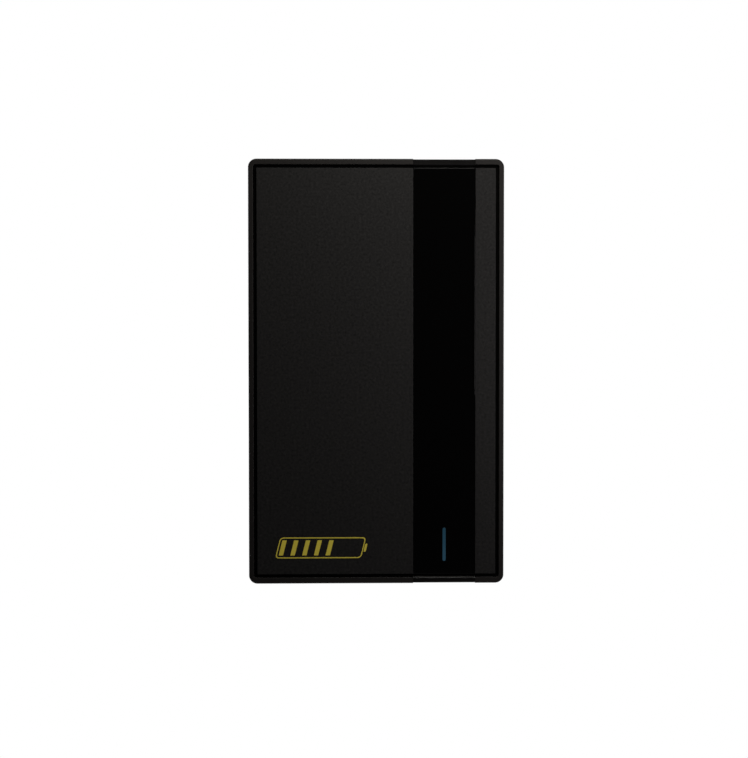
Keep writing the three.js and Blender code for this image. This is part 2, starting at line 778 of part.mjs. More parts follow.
// Lead from the left column's output pad down to the shunt.
function negativeCable() {
  const x = -BUSBAR_FACE - 9;
  const y = BACK_LAYER - CELL_THICK / 2;
  return cable([
    [x, y, BLOCK_BOTTOM + 40],
    [x, y, BLOCK_BOTTOM + 5],
    [x - 3, y - 4, SHUNT_Z + 20],
    [x - 3, y - 8, SHUNT_Z + 2],
    [x + 1, y - 10, SHUNT_Z - 12],
    [x + 18, y - 12, SHUNT_Z - 16],
    [x + 40, y - 12, SHUNT_Z - 16],
  ], CABLE_RADIUS);
}

// ---------- connection bay ----------

// Folded box, open downwards, with a flange inside the casing and an opening for each device.
function connectionBay() {
  const flangeWide = 10;
  const ceilingTop = BAY_CEILING + SHEET;
  const flangeLow = BOTTOM + CASING_INSET + SHEET + GAP;
  const outer = box(-BAY_HALF_WIDE, BAY_HALF_WIDE, BAY_FRONT, BAY_BACK, BOTTOM + CASING_INSET, ceilingTop);
  const flange = box(
    -BAY_HALF_WIDE - flangeWide, BAY_HALF_WIDE + flangeWide,
    BAY_FRONT - flangeWide + SHEET, BAY_BACK + flangeWide - SHEET, flangeLow, flangeLow + SHEET);
  const room = box(
    SHEET - BAY_HALF_WIDE, BAY_HALF_WIDE - SHEET, BAY_FRONT + SHEET, BAY_BACK - SHEET, BOTTOM, BAY_CEILING);
  let bay = join(outer, flange).subtract(room);
  const low = BAY_CEILING - 1;
  const high = ceilingTop + 1;
  const cutRound = (x, radius) => {
    bay = bay.subtract(cylinder("z", radius, low, high, x, BAY_MIDDLE));
  };
  const cutSquare = (x, wide, long) => {
    bay = bay.subtract(
      box(x - wide / 2, x + wide / 2, BAY_MIDDLE - long / 2, BAY_MIDDLE + long / 2, low, high));
  };
  cutRound(NEGATIVE_X, TAIL_RADIUS + 0.5);
  cutRound(POSITIVE_X, TAIL_RADIUS + 0.5);
  cutRound(POWER_X, BARREL_RADIUS + 0.4);
  cutRound(RESET_X, PIN_RADIUS + GAP);
  cutRound(STUD_X, STUD_RADIUS + 0.6);
  cutRound(VENT_X, VENT_NECK + 0.4);
  cutSquare(BREAKER_X, NOSE_WIDE + 1, NOSE_LONG + 1);
  cutSquare(PORTS_X, PORT_COUNT * PORT_PITCH + 5, 2 * PORT_HIGH + 1);
  return bay;
}

// Round power receptacle: a flange under the ceiling, a socket with a short contact below, a tail above.
function powerTerminal(x) {
  const contactRadius = 4;
  const socketRadius = 9;
  const bodyRadius = 13;
  const flangeRadius = 17;
  const flangeThick = 3;
  const contactLow = SOCKET_SEAT - 6;
  const face = BAY_CEILING - GAP;
  return turned([
    [0, contactLow],
    [contactRadius, contactLow],
    [contactRadius, SOCKET_SEAT],
    [socketRadius, SOCKET_SEAT],
    [socketRadius, SOCKET_MOUTH],
    [bodyRadius, SOCKET_MOUTH],
    [bodyRadius, face - flangeThick],
    [flangeRadius, face - flangeThick],
    [flangeRadius, face],
    [TAIL_RADIUS, face],
    [TAIL_RADIUS, TAIL_TOP],
    [0, TAIL_TOP],
  ], x, BAY_MIDDLE);
}

// Breaker body above the ceiling; its nose comes through and is slotted for the toggle.
function dcBreaker() {
  const block = (wide, long, z0, z1) =>
    box(BREAKER_X - wide / 2, BREAKER_X + wide / 2, BAY_MIDDLE - long / 2, BAY_MIDDLE + long / 2, z0, z1);
  const slotLong = 22;
  const slotClear = 0.6;
  const bodyLow = BAY_CEILING + SHEET + GAP;
  const body = block(BREAKER_WIDE, BREAKER_LONG, bodyLow, BREAKER_TOP);
  const nose = block(NOSE_WIDE, NOSE_LONG, NOSE_FACE, bodyLow + 1);
  const slotTop = TOGGLE_AXIS + TOGGLE_DRUM + slotClear;
  const slot = block(TOGGLE_LONG + 2 * slotClear, slotLong, NOSE_FACE - 1, slotTop);
  return join(body, nose).subtract(slot);
}

// Toggle about its own hinge axis, pointing straight down.
function breakerToggle() {
  const half = TOGGLE_LONG / 2;
  const drum = cylinder("x", TOGGLE_DRUM, -half, half, 0, 0, MANY_SIDES);
  const lever = prism("z", roundRect(-7, 7, -3, 3, 2), -20, 0);
  return join(drum, lever);
}

// Bezel and barrel that hold the power button.
function buttonHousing() {
  const boreRadius = BUTTON_RADIUS + GAP;
  const bezelRadius = 12;
  const bezelThick = 3;
  const face = BAY_CEILING - GAP;
  return turned([
    [0, BORE_TOP],
    [boreRadius, BORE_TOP],
    [boreRadius, face - bezelThick],
    [bezelRadius - 1, face - bezelThick],
    [bezelRadius, face - bezelThick + 1],
    [bezelRadius, face],
    [BARREL_RADIUS, face],
    [BARREL_RADIUS, BARREL_TOP],
    [0, BARREL_TOP],
  ], POWER_X, BAY_MIDDLE);
}

function powerButton() {
  return turned([
    [0, BUTTON_FACE],
    [BUTTON_RADIUS - 1, BUTTON_FACE + 0.2],
    [BUTTON_RADIUS, BUTTON_FACE + 1],
    [BUTTON_RADIUS, BUTTON_BACK],
    [0, BUTTON_BACK],
  ], POWER_X, BAY_MIDDLE);
}

// Small pin through the ceiling; its collar rests on the ceiling's upper side.
function resetButton() {
  const collarRadius = 3.5;
  const collarThick = 1.2;
  const tip = BAY_CEILING - 1;
  const collar = BAY_CEILING + SHEET + GAP;
  const end = collar + 5;
  return turned([
    [0, tip],
    [PIN_RADIUS, tip],
    [PIN_RADIUS, collar],
    [collarRadius, collar],
    [collarRadius, collar + collarThick],
    [PIN_RADIUS, collar + collarThick],
    [PIN_RADIUS, end],
    [0, end],
  ], RESET_X, BAY_MIDDLE, FEW_SIDES);
}

// Four data sockets in one moulding, open downwards.
function portBlock() {
  const half = PORT_COUNT * PORT_PITCH / 2 + 2;
  const top = PORT_FACE + PORT_DEPTH + 7;
  let block = box(
    PORTS_X - half, PORTS_X + half, BAY_MIDDLE - PORT_HIGH, BAY_MIDDLE + PORT_HIGH, PORT_FACE, top);
  for (let index = 0; index < PORT_COUNT; index += 1) {
    const x = PORTS_X + (index - (PORT_COUNT - 1) / 2) * PORT_PITCH;
    block = block.subtract(box(
      x - PORT_WIDE / 2, x + PORT_WIDE / 2, BAY_MIDDLE - PORT_HIGH / 2, BAY_MIDDLE + PORT_HIGH / 2,
      PORT_FACE - 1, PORT_FACE + PORT_DEPTH));
  }
  return block;
}

// Earth stud with its head above the ceiling, and a washer and nut below.
function groundStud() {
  const headHigh = 4;
  const washerRadius = 7;
  const washerThick = 1.5;
  const nutHigh = 5;
  const tip = BOTTOM + 40;
  const above = BAY_CEILING + SHEET + GAP;
  const washerTop = BAY_CEILING - GAP;
  const nutTop = washerTop - washerThick;
  const post = cylinder("z", STUD_RADIUS, tip, above + 1, STUD_X, BAY_MIDDLE, FEW_SIDES);
  const head = cylinder("z", NUT_RADIUS, above, above + headHigh, STUD_X, BAY_MIDDLE, 6);
  const washer = cylinder("z", washerRadius, nutTop, washerTop, STUD_X, BAY_MIDDLE);
  const nut = cylinder("z", NUT_RADIUS, nutTop - nutHigh, nutTop, STUD_X, BAY_MIDDLE, 6);
  return join(post, head, washer, nut);
}

// Breather plug that lets the sealed casing equalise its pressure.
function pressureVent() {
  const capRadius = 9;
  const capHigh = 6;
  const capEdge = 1.5;
  const neckHigh = 9;
  const face = BAY_CEILING - GAP;
  return turned([
    [0, face - capHigh],
    [capRadius - capEdge, face - capHigh],
    [capRadius, face - capHigh + capEdge],
    [capRadius, face],
    [VENT_NECK, face],
    [VENT_NECK, face + neckHigh],
    [0, face + neckHigh],
  ], VENT_X, BAY_MIDDLE);
}

// ---------- assembly ----------

function addWallSide() {
  addPiece("wall_bracket", wallBracket(), ZINC_STEEL);
  let number = 1;
  for (const x of [-BOLT_X, BOLT_X]) {
    for (const z of BOLT_HEIGHTS) {
      addPiece("wall_bolt_" + number, wallBolt(x, z), ZINC_STEEL);
      number += 1;
    }
  }
  addPiece("hanger_rail", hangerRail(), ZINC_STEEL);
  addPiece("rear_bumper_left", rearBumper(-BUMPER_X), RUBBER);
  addPiece("rear_bumper_right", rearBumper(BUMPER_X), RUBBER);
}

function addCasing() {
  addPiece("rear_casing", rearCasing(), POWDER_COAT);
  addPiece("side_grip_left", sideGrip(-1), DEVICE_BLACK);
  addPiece("side_grip_right", sideGrip(1), DEVICE_BLACK);
  addPiece("casing_gasket", casingGasket(), RUBBER);
  addPiece("closing_plate", closingPlate(), ZINC_STEEL);
}

function addFront() {
  const left = frontPanel(-PANEL_SIDE, BAND_LEFT - JOINT_HALF, PANEL_BOTTOM, PANEL_TOP);
  const right = frontPanel(BAND_RIGHT + JOINT_HALF, PANEL_SIDE, PANEL_BOTTOM, PANEL_TOP);
  addPiece("front_cover", frontCover(), COVER_PLASTIC);
  addPiece("band_cap_top", bandCap(1), GLOSS_BLACK);
  addPiece("band_cap_bottom", bandCap(-1), GLOSS_BLACK);
  addPiece("panel_left", left, MATTE_PANEL);
  addPiece("panel_right", right, MATTE_PANEL);
  addPiece("gloss_strip", glossStrip(), GLOSS_BLACK);
  addPiece("light_guide", lightGuide(), LIGHT_CYAN);
  addPiece("light_board", lightBoard(), BOARD_GREEN);
}

function addBatteryBlock() {
  const backSheetSpread = 8;
  const dividerBack = BACK_LAYER - CELL_THICK - GAP;
  addCells();
  addPiece("back_insulation", blockSheet(BACK_LAYER + GAP, SHEET_BACK, backSheetSpread), INSULATOR);
  addPiece("layer_divider", blockSheet(dividerBack - DIVIDER, dividerBack, 0), INSULATOR);
  addPiece("clamp_plate", clampPlate(), ZINC_STEEL);
  addPiece("busbar_carrier_left", busbarCarrier(-1), CARRIER_PLASTIC);
  addPiece("busbar_carrier_right", busbarCarrier(1), CARRIER_PLASTIC);
  addPiece("column_link", columnLink(), COPPER);
}

function addElectronics() {
  addPiece("bms_board", bmsBoard(), BOARD_GREEN);
  addPiece("bms_heatsink", bmsHeatsink(), ALUMINIUM);
  addPiece("main_fuse", mainFuse(), DEVICE_GREY);
  addPiece("current_shunt", currentShunt(), BRASS);
  addPiece("positive_cable", positiveCable(), DEVICE_ORANGE);
  addPiece("negative_cable", negativeCable(), DEVICE_BLACK);
}

function addBay() {
  addPiece("connection_bay", connectionBay(), POWDER_COAT);
  addPiece("positive_terminal", powerTerminal(POSITIVE_X), DEVICE_ORANGE);
  addPiece("negative_terminal", powerTerminal(NEGATIVE_X), DEVICE_BLACK);
  addPiece("dc_breaker", dcBreaker(), DEVICE_GREY);
  const toggle = addPiece("breaker_toggle", breakerToggle(), DEVICE_BLACK);
  toggle.position.set(BREAKER_X, BAY_MIDDLE, TOGGLE_AXIS);
  toggle.rotation.x = THREE.MathUtils.degToRad(TOGGLE_TILT);
  addPiece("button_housing", buttonHousing(), ZINC_STEEL);
  addPiece("power_button", powerButton(), ZINC_STEEL);
  addPiece("reset_button", resetButton(), DEVICE_BLACK);
  addPiece("port_block", portBlock(), DEVICE_BLACK);
  addPiece("ground_stud", groundStud(), BRASS);
  addPiece("pressure_vent", pressureVent(), DEVICE_BLACK);
}

addWallSide();
addCasing();
addFront();
addBatteryBlock();
addElectronics();
addBay();

export default unit;
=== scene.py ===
"""Looks of the wall battery unit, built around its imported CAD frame.

Metres, +Z up. The wall is the plane y = 0 and the front faces -Y. The origin is the middle of the
bracket's back face.
"""
import json
import math

import bmesh
import bpy
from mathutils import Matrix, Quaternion, Vector


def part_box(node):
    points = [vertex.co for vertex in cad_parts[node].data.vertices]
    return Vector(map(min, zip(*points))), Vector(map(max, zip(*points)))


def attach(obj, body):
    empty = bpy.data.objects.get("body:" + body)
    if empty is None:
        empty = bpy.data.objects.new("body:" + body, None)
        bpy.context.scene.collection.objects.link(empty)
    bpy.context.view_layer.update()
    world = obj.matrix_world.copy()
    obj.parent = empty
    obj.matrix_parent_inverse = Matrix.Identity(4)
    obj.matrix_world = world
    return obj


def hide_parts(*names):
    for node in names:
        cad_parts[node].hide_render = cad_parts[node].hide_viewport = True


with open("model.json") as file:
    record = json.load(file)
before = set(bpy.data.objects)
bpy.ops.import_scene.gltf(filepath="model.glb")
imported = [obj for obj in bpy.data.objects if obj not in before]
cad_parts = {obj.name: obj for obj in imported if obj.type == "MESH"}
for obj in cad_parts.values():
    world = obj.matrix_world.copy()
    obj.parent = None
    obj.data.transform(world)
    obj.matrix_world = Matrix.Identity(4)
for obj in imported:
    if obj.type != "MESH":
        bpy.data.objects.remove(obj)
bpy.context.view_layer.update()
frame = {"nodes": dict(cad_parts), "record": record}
NODES = frame["nodes"]
RECORD = frame["record"]
SLOT_OF = {row["node"]: row["material_slot"] for row in RECORD["subparts"]}
BODY_OF = {node: body for body, members in RECORD["behaviour"]["bodies"].items() for node in members}
MM = 0.001

# Boxes that the pieces take their places from.
COVER_LOW, COVER_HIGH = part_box("front_cover")
CASING_LOW, CASING_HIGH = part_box("rear_casing")
STRIP_LOW, STRIP_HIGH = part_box("gloss_strip")
GUIDE_LOW, GUIDE_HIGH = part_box("light_guide")
PANEL_LOW, PANEL_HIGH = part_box("panel_left")
BAY_LOW, BAY_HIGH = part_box("connection_bay")
CAP_TOP_LOW, CAP_TOP_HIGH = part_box("band_cap_top")
CAP_BOTTOM_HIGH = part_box("band_cap_bottom")[1]
RAIL_LOW, RAIL_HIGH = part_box("hanger_rail")
FRONT = COVER_LOW.y
BOTTOM = COVER_LOW.z
TOP = COVER_HIGH.z
CENTRE_X = (COVER_LOW.x + COVER_HIGH.x) / 2
CENTRE_Z = (BOTTOM + TOP) / 2

# Sizes of the cover and casing that a box can't tell.
CORNER = 17 * MM
RIM_INNER_CORNER = 5 * MM
RIM_SIDE = 10 * MM
RIM_TOP = 11.5 * MM
RIM_BOTTOM = 12.25 * MM
SKIRT_WALL = 2.5 * MM
FLOOR_THICK = 3 * MM
SHEET = 2 * MM
CASING_FLANGE = 14 * MM
CASING_INSET = CASING_LOW.x - COVER_LOW.x
GRIP_FLANGE = 7 * MM
GRIP_WALL = 2 * MM
GRIP_CORNER = 8 * MM

# Clearance between a finer piece and its neighbour.
GAP = 0.3 * MM

# How finely round corners, rounded edges and round pieces are divided.
ARC_STEPS = 14
EDGE_STEPS = 5
ROUND_SIDES = 48


# --- camera, light and stage ---

LENS_MM = 85
SENSOR_MM = 36
# Height of the whole view at the unit's front, and where its middle lies from the cover's middle.
VIEW_HEIGHT = 1.5128
AZIMUTH = math.radians(-1.5)
ELEVATION = math.radians(2.0)
ROLL = math.radians(-0.03)
AIM_LEFT = 0.0048
AIM_BELOW = 0.0142


def make_camera():
    """Nearly square on, a little from the left and from above."""
    data = bpy.data.cameras.new("camera")
    data.lens = LENS_MM
    data.sensor_width = SENSOR_MM
    camera = bpy.data.objects.new("camera", data)
    aim = Vector((CENTRE_X - AIM_LEFT, FRONT, CENTRE_Z - AIM_BELOW))
    away = Vector((
        math.sin(AZIMUTH) * math.cos(ELEVATION),
        -math.cos(AZIMUTH) * math.cos(ELEVATION),
        math.sin(ELEVATION),
    ))
    camera.location = aim + away * VIEW_HEIGHT * LENS_MM / SENSOR_MM
    turn = away.to_track_quat("Z", "Y") @ Quaternion((0, 0, 1), ROLL)
    camera.rotation_euler = turn.to_euler()
    bpy.context.scene.collection.objects.link(camera)
    bpy.context.scene.camera = camera


def area_light(name, place, target, size, power, colour):
    data = bpy.data.lights.new(name, "AREA")
    data.shape = "RECTANGLE"
    data.size, data.size_y = size
    data.energy = power
    data.color = colour
    light = bpy.data.objects.new(name, data)
    light.location = place
    light.rotation_euler = (Vector(target) - Vector(place)).to_track_quat("-Z", "Y").to_euler()
    bpy.context.scene.collection.objects.link(light)


def make_lights():
    """Soft light on the front from the right and from above; the other sides get their own."""
    middle = (0, -0.08, CENTRE_Z)
    area_light("key_right", (0.85, -0.9, -0.1), (0.1, -0.17, -0.1), (0.4, 0.4), 3.05, (1.0, 0.965, 0.965))
    area_light("key_top", (0.15, -0.72, 0.68), (0.1, -0.17, 0.0), (0.4, 0.2), 2.85, (1.0, 0.985, 0.925))
    area_light("above_front", (0.1, -0.26, 2.2), (0.1, -0.17, 0), (1.6, 0.3), 11, (1.0, 0.99, 0.98))
    area_light("above", (0, 0.8, 1.9), (0, -0.08, TOP), (1.6, 0.9), 16, (1.0, 0.98, 0.97))
    area_light("side_right", (2.2, 0.9, 0.2), middle, (1.2, 1.8), 30, (1.0, 0.97, 0.95))
    area_light("side_left", (-2.2, 0.9, 0.1), middle, (1.2, 1.8), 30, (0.96, 0.98, 1.0))
    area_light("back", (0.6, 2.3, 0.9), middle, (2.4, 2.0), 34, (0.98, 0.98, 1.0))
    area_light("below", (0.1, 0.7, -2.3), (0, -0.08, BOTTOM), (3.0, 1.4), 28, (1.0, 0.99, 0.98))


def white_to_camera(nodes, links, other, surface):
    """White where the camera sees it, and the other shader for every reflection and bounce."""
    white = nodes.new("ShaderNodeEmission" if surface else "ShaderNodeBackground")
    white.inputs["Color"].default_value = (1, 1, 1, 1)
    path = nodes.new("ShaderNodeLightPath")
    mix = nodes.new("ShaderNodeMixShader")
    links.new(path.outputs["Is Camera Ray"], mix.inputs["Fac"])
    links.new(other.outputs[0], mix.inputs[1])
    links.new(white.outputs[0], mix.inputs[2])
    return mix


def make_world():
    world = bpy.data.worlds.new("studio")
    bpy.context.scene.world = world
    world.use_nodes = True
    nodes = world.node_tree.nodes
    links = world.node_tree.links
    dim = nodes["Background"]
    dim.inputs["Color"].default_value = (0.9, 0.95, 1.0, 1)
    dim.inputs["Strength"].default_value = 0.004
    mix = white_to_camera(nodes, links, dim, False)
    links.new(mix.outputs[0], nodes["World Output"].inputs["Surface"])


FLOOR_SIZE = 40
FLOOR_BELOW = 2.4


def make_floor():
    bpy.ops.mesh.primitive_grid_add(x_subdivisions=4, y_subdivisions=4, size=FLOOR_SIZE)
    floor = bpy.context.active_object
    floor.name = "floor"
    floor.location = (0, 0, BOTTOM - FLOOR_BELOW)
    material = bpy.data.materials.new("pale_floor")
    material.use_nodes = True
    nodes = material.node_tree.nodes
    links = material.node_tree.links
    pale = nodes["Principled BSDF"]
    pale.inputs["Base Color"].default_value = (0.8, 0.8, 0.79, 1)
    pale.inputs["Roughness"].default_value = 0.8
    mix = white_to_camera(nodes, links, pale, True)
    links.new(mix.outputs[0], nodes["Material Output"].inputs["Surface"])
    floor.data.materials.append(material)


# --- material tools ---

class Paint:
    """A procedural material built around one principled shader, with textures in real-scale object space."""

    def __init__(self, name):
        self.name = name
        self.material = bpy.data.materials.new(name)
        self.material.use_nodes = True
        self.nodes = self.material.node_tree.nodes
        self.links = self.material.node_tree.links
        self.shader = self.nodes["Principled BSDF"]
        self.place = self.nodes.new("ShaderNodeTexCoord").outputs["Object"]
        self.normal = None

    def set(self, **values):
        for socket, value in values.items():
            name = socket.replace("_", " ")
            self.shader.inputs[name].default_value = (*value, 1) if isinstance(value, tuple) else value

    def stretched(self, stretch):
        mapping = self.nodes.new("ShaderNodeMapping")
        mapping.inputs["Scale"].default_value = stretch
        self.links.new(self.place, mapping.inputs["Vector"])
        return mapping.outputs["Vector"]

    def noise(self, size, detail=2.0, stretch=(1, 1, 1), rough=0.5):
        """Noise whose features are about size metres across."""
        texture = self.nodes.new("ShaderNodeTexNoise")
        texture.inputs["Scale"].default_value = 1 / size
        texture.inputs["Detail"].default_value = detail
        texture.inputs["Roughness"].default_value = rough
        self.links.new(self.stretched(stretch), texture.inputs["Vector"])
        return texture.outputs["Fac"]

    def height(self):
        """The object's own Z in metres."""
        split = self.nodes.new("ShaderNodeSeparateXYZ")
        self.links.new(self.place, split.inputs[0])
        return split.outputs["Z"]

    def cells(self, size, output):
        """Cells about size metres across; the output is their colour or the distance to their middles."""
        texture = self.nodes.new("ShaderNodeTexVoronoi")
        texture.inputs["Scale"].default_value = 1 / size
        self.links.new(self.place, texture.inputs["Vector"])
        return texture.outputs[output]

    def between(self, factor, low, high, start=0.0, end=1.0):
        node = self.nodes.new("ShaderNodeMapRange")
        for name, value in (("From Min", start), ("From Max", end), ("To Min", low), ("To Max", high)):
            node.inputs[name].default_value = value
        self.links.new(factor, node.inputs["Value"])
        return node.outputs["Result"]

    def mixed(self, factor, first, second):
        """A colour between two; each is a plain colour or another node's output."""
        node = self.nodes.new("ShaderNodeMix")
        node.data_type = "RGBA"
        self.links.new(factor, node.inputs["Factor"])
        for socket, value in ((node.inputs[6], first), (node.inputs[7], second)):
            if isinstance(value, tuple):
                socket.default_value = (*value, 1)
            else:
                self.links.new(value, socket)
        return node.outputs[2]

    def times(self, first, second):
        node = self.nodes.new("ShaderNodeMath")
        node.operation = "MULTIPLY"
        self.links.new(first, node.inputs[0])
        self.links.new(second, node.inputs[1])
        return node.outputs[0]

    def wear_and_sheen(self, amount):
        """Patchy factor on the faces that a bevel marked as worn edges; on the front panels it also lays a
        painted edge highlight.
        """
        mark = self.nodes.new("ShaderNodeAttribute")
        mark.attribute_name = "wear_and_sheen"
        patches = self.between(self.noise(3 * MM, 3), 0.0, amount, 0.38, 0.62)
        return self.times(mark.outputs["Fac"], patches)

    def colour(self, output):
        self.links.new(output, self.shader.inputs["Base Color"])

    def roughness(self, output):
        self.links.new(output, self.shader.inputs["Roughness"])

    def bump(self, height, depth):
        """Adds a relief of that depth in metres to the ones before it."""
        node = self.nodes.new("ShaderNodeBump")
        node.inputs["Strength"].default_value = 1.0
        node.inputs["Distance"].default_value = depth
        self.links.new(height, node.inputs["Height"])
        if self.normal:
            self.links.new(self.normal, node.inputs["Normal"])
        self.normal = node.outputs["Normal"]
        self.links.new(self.normal, self.shader.inputs["Normal"])


def scaled(colour, factor):
    return tuple(min(1.0, channel * factor) for channel in colour)


def grained(name, colour, roughness, grain, depth, mottle=0.12, edge_wear_and_sheen=None, wear_and_sheen=0.5, spread=0.06, shine=0.5,
            fleck=0.1, fleck_size=2 * MM):
    """Moulded or coated surface: fine grain, flecks, faint mottling, uneven gloss and paler worn edges; on
    the front panels the pale edges are also a painted highlight.
    """
    paint = Paint(name)
    base = paint.mixed(paint.noise(70 * MM, 3), scaled(colour, 1 - mottle), scaled(colour, 1 + mottle))
    pattern = paint.between(paint.noise(fleck_size, 4, rough=0.7), 0.0, 1.0, 0.3, 0.7)
    flecks = paint.mixed(pattern, scaled(colour, 1 - fleck), scaled(colour, 1 + fleck))
    base = paint.mixed(paint.between(paint.noise(9 * MM, 2), 0.3, 1.0, 0.3, 0.6), base, flecks)
    if edge_wear_and_sheen:
        base = paint.mixed(paint.wear_and_sheen(wear_and_sheen), base, edge_wear_and_sheen)
    paint.set(Specular_IOR_Level=shine)
    paint.colour(base)
    paint.roughness(paint.between(paint.noise(28 * MM, 4), roughness - spread, roughness + spread, 0.3, 0.7))
    paint.bump(paint.noise(grain, 3, rough=0.6), depth)
    return paint


def metal(name, colour, roughness, stretch):
    """Bare metal with drawn or brushed streaks and a little tarnish."""
    paint = Paint(name)
    paint.set(Metallic=1.0)
    base = paint.mixed(paint.noise(25 * MM, 4), scaled(colour, 0.8), scaled(colour, 1.1))
    paint.colour(paint.mixed(paint.wear_and_sheen(0.6), base, scaled(colour, 1.5)))
    streaks = paint.noise(0.8 * MM, 3, stretch)
    paint.roughness(paint.between(streaks, roughness - 0.1, roughness + 0.14, 0.3, 0.7))
    paint.bump(streaks, 0.02 * MM)
    return paint


# --- materials, one function each ---

def matte_panel():
    """Fine-textured coating with small lighter and darker flecks."""
    # The pale bluish colour on the rounded edges is partly patchy wear and partly a painted highlight along
    # the panels' edges.
    paint = grained("matte_panel", (0.0152, 0.0141, 0.0138), 0.62, 0.6 * MM, 0.03 * MM, 0.04,
                    edge_wear_and_sheen=(0.021, 0.021, 0.0225), wear_and_sheen=0.6, spread=0.02, shine=0.32,
                    fleck=0.95, fleck_size=5 * MM)
    paint.bump(paint.noise(2.5 * MM, 2), 0.12 * MM)
    return paint


def cover_plastic():
    return grained("cover_plastic", (0.0168, 0.0142, 0.0132), 0.5, 0.4 * MM, 0.02 * MM, 0.08,
                   edge_wear_and_sheen=(0.021, 0.018, 0.017), wear_and_sheen=0.4, spread=0.03, shine=0.36)


def painted_groove_shade():
    """Painted shade: near black on the shadow gap's floor and walls, where hardly any light comes back out.
    """
    return grained("painted_groove_shade", (0.004, 0.0038, 0.0036), 0.85, 0.8 * MM, 0.02 * MM, 0.3,
                   shine=0.0, spread=0.05)


def band_cap_plastic():
    """Polished trim, a little darker than the cover beside it."""
    return grained("band_cap", (0.0100, 0.0092, 0.0090), 0.24, 0.5 * MM, 0.004 * MM, 0.06,
                   edge_wear_and_sheen=(0.013, 0.012, 0.0115), spread=0.03, shine=0.42)


def gloss_black():
    """High-gloss plastic with faint wipe marks and fine dust."""
    paint = Paint("gloss_black")
    dust = paint.between(paint.noise(0.7 * MM, 1), 0.0, 1.0, 0.7, 0.78)
    paint.colour(paint.mixed(dust, (0.0022, 0.0021, 0.0021), (0.006, 0.006, 0.006)))
    wipes = paint.noise(30 * MM, 4, (1, 1, 0.25))
    paint.roughness(paint.between(wipes, 0.06, 0.085, 0.35, 0.65))
    paint.bump(paint.noise(45 * MM, 1), 0.004 * MM)
    paint.set(Specular_IOR_Level=0.4)
    return paint


def light_cyan():
    """Acrylic bar, dimly lit from its lower end."""
    paint = Paint("light_cyan")
    glow = paint.between(paint.height(), 1.0, 0.0, GUIDE_LOW.z, GUIDE_HIGH.z)
    uneven = paint.noise(14 * MM, 1, (0.2, 0.2, 1))
    colour = paint.mixed(glow, (0.0058, 0.0228, 0.0375), (0.0118, 0.0345, 0.0560))
    paint.colour(paint.mixed(uneven, (0.008, 0.025, 0.033), (0.012, 0.034, 0.045)))
    paint.links.new(colour, paint.shader.inputs["Emission Color"])
    paint.set(Emission_Strength=1.0)
    paint.roughness(paint.between(paint.noise(4 * MM, 2), 0.22, 0.4))
    return paint


def powder_coat():
    """Textured powder coat on sheet metal."""
    paint = grained("powder_coat", (0.028, 0.0265, 0.026), 0.55, 0.9 * MM, 0.06 * MM, 0.06,
                    edge_wear_and_sheen=(0.09, 0.088, 0.085), spread=0.025)
    paint.bump(paint.noise(2.2 * MM, 1), 0.03 * MM)
    return paint


def zinc_steel():
    """Galvanised sheet: small grey spangles that differ a little in tone, with faint stains."""
    paint = Paint("zinc_steel")
    paint.set(Metallic=1.0)
    spangle = paint.cells(4.5 * MM, "Color")
    tone = paint.mixed(paint.between(spangle, 0.25, 0.75), (0.47, 0.48, 0.49), (0.57, 0.58, 0.59))
    stains = paint.between(paint.noise(60 * MM, 4), 0, 0.3, 0.5, 0.75)
    stained = paint.mixed(stains, tone, (0.38, 0.37, 0.355))
    paint.colour(paint.mixed(paint.wear_and_sheen(0.7), stained, (0.74, 0.75, 0.76)))
    paint.roughness(paint.between(spangle, 0.46, 0.54))
    paint.bump(paint.noise(0.5 * MM, 2), 0.012 * MM)
    return paint


def rubber_black():
    """Moulded rubber with a slightly uneven skin."""
    paint = grained("rubber_black", (0.018, 0.018, 0.019), 0.8, 0.7 * MM, 0.05 * MM, 0.2,
                    edge_wear_and_sheen=(0.06, 0.06, 0.058))
    paint.bump(paint.noise(5 * MM, 2), 0.06 * MM)
    return paint


def cell_can():
    """Blue wrapping film, slightly wrinkled over the aluminium can."""
    paint = grained("cell_can", (0.045, 0.12, 0.32), 0.35, 2 * MM, 0.03 * MM, 0.1)
    paint.bump(paint.noise(22 * MM, 2, (1, 1, 0.3)), 0.2 * MM)
    return paint


def insulator():
    """Woven glass laminate."""
    paint = Paint("insulator")
    weave = paint.times(paint.noise(0.6 * MM, 1, (6, 1, 1)), paint.noise(0.6 * MM, 1, (1, 1, 6)))
    paint.colour(paint.mixed(weave, (0.5, 0.46, 0.3), (0.72, 0.68, 0.5)))
    paint.roughness(paint.between(paint.noise(8 * MM, 2), 0.5, 0.7))
    paint.bump(weave, 0.05 * MM)
    return paint


def carrier_plastic():
    return grained("carrier_plastic", (0.03, 0.03, 0.032), 0.55, 0.5 * MM, 0.03 * MM, edge_wear_and_sheen=(0.07, 0.07, 0.07))


def circuit_board():
    """Green solder mask with tracks under it."""
    paint = Paint("circuit_board")
    tracks = paint.between(paint.cells(2.4 * MM, "Distance"), 0, 1, 0.2, 0.26)
    paint.colour(paint.mixed(tracks, (0.012, 0.10, 0.04), (0.02, 0.16, 0.06)))
    paint.roughness(paint.between(paint.noise(6 * MM, 2), 0.25, 0.45))
    paint.bump(tracks, 0.03 * MM)
    return paint


def fuse_ceramic():
    return grained("fuse_ceramic", (0.68, 0.66, 0.6), 0.4, 1.2 * MM, 0.02 * MM, 0.05,
                   edge_wear_and_sheen=(0.8, 0.79, 0.76))


def device_orange():
    return grained("device_orange", (0.68, 0.14, 0.02), 0.42, 0.5 * MM, 0.02 * MM, 0.06,
                   edge_wear_and_sheen=(0.8, 0.3, 0.12))


def device_black():
    return grained("device_black", (0.02, 0.02, 0.0205), 0.45, 0.45 * MM, 0.025 * MM, 0.12,
                   edge_wear_and_sheen=(0.07, 0.07, 0.07))


def device_grey():
    return grained("device_grey", (0.46, 0.47, 0.45), 0.48, 0.5 * MM, 0.02 * MM, 0.05, edge_wear_and_sheen=(0.62, 0.62, 0.6))


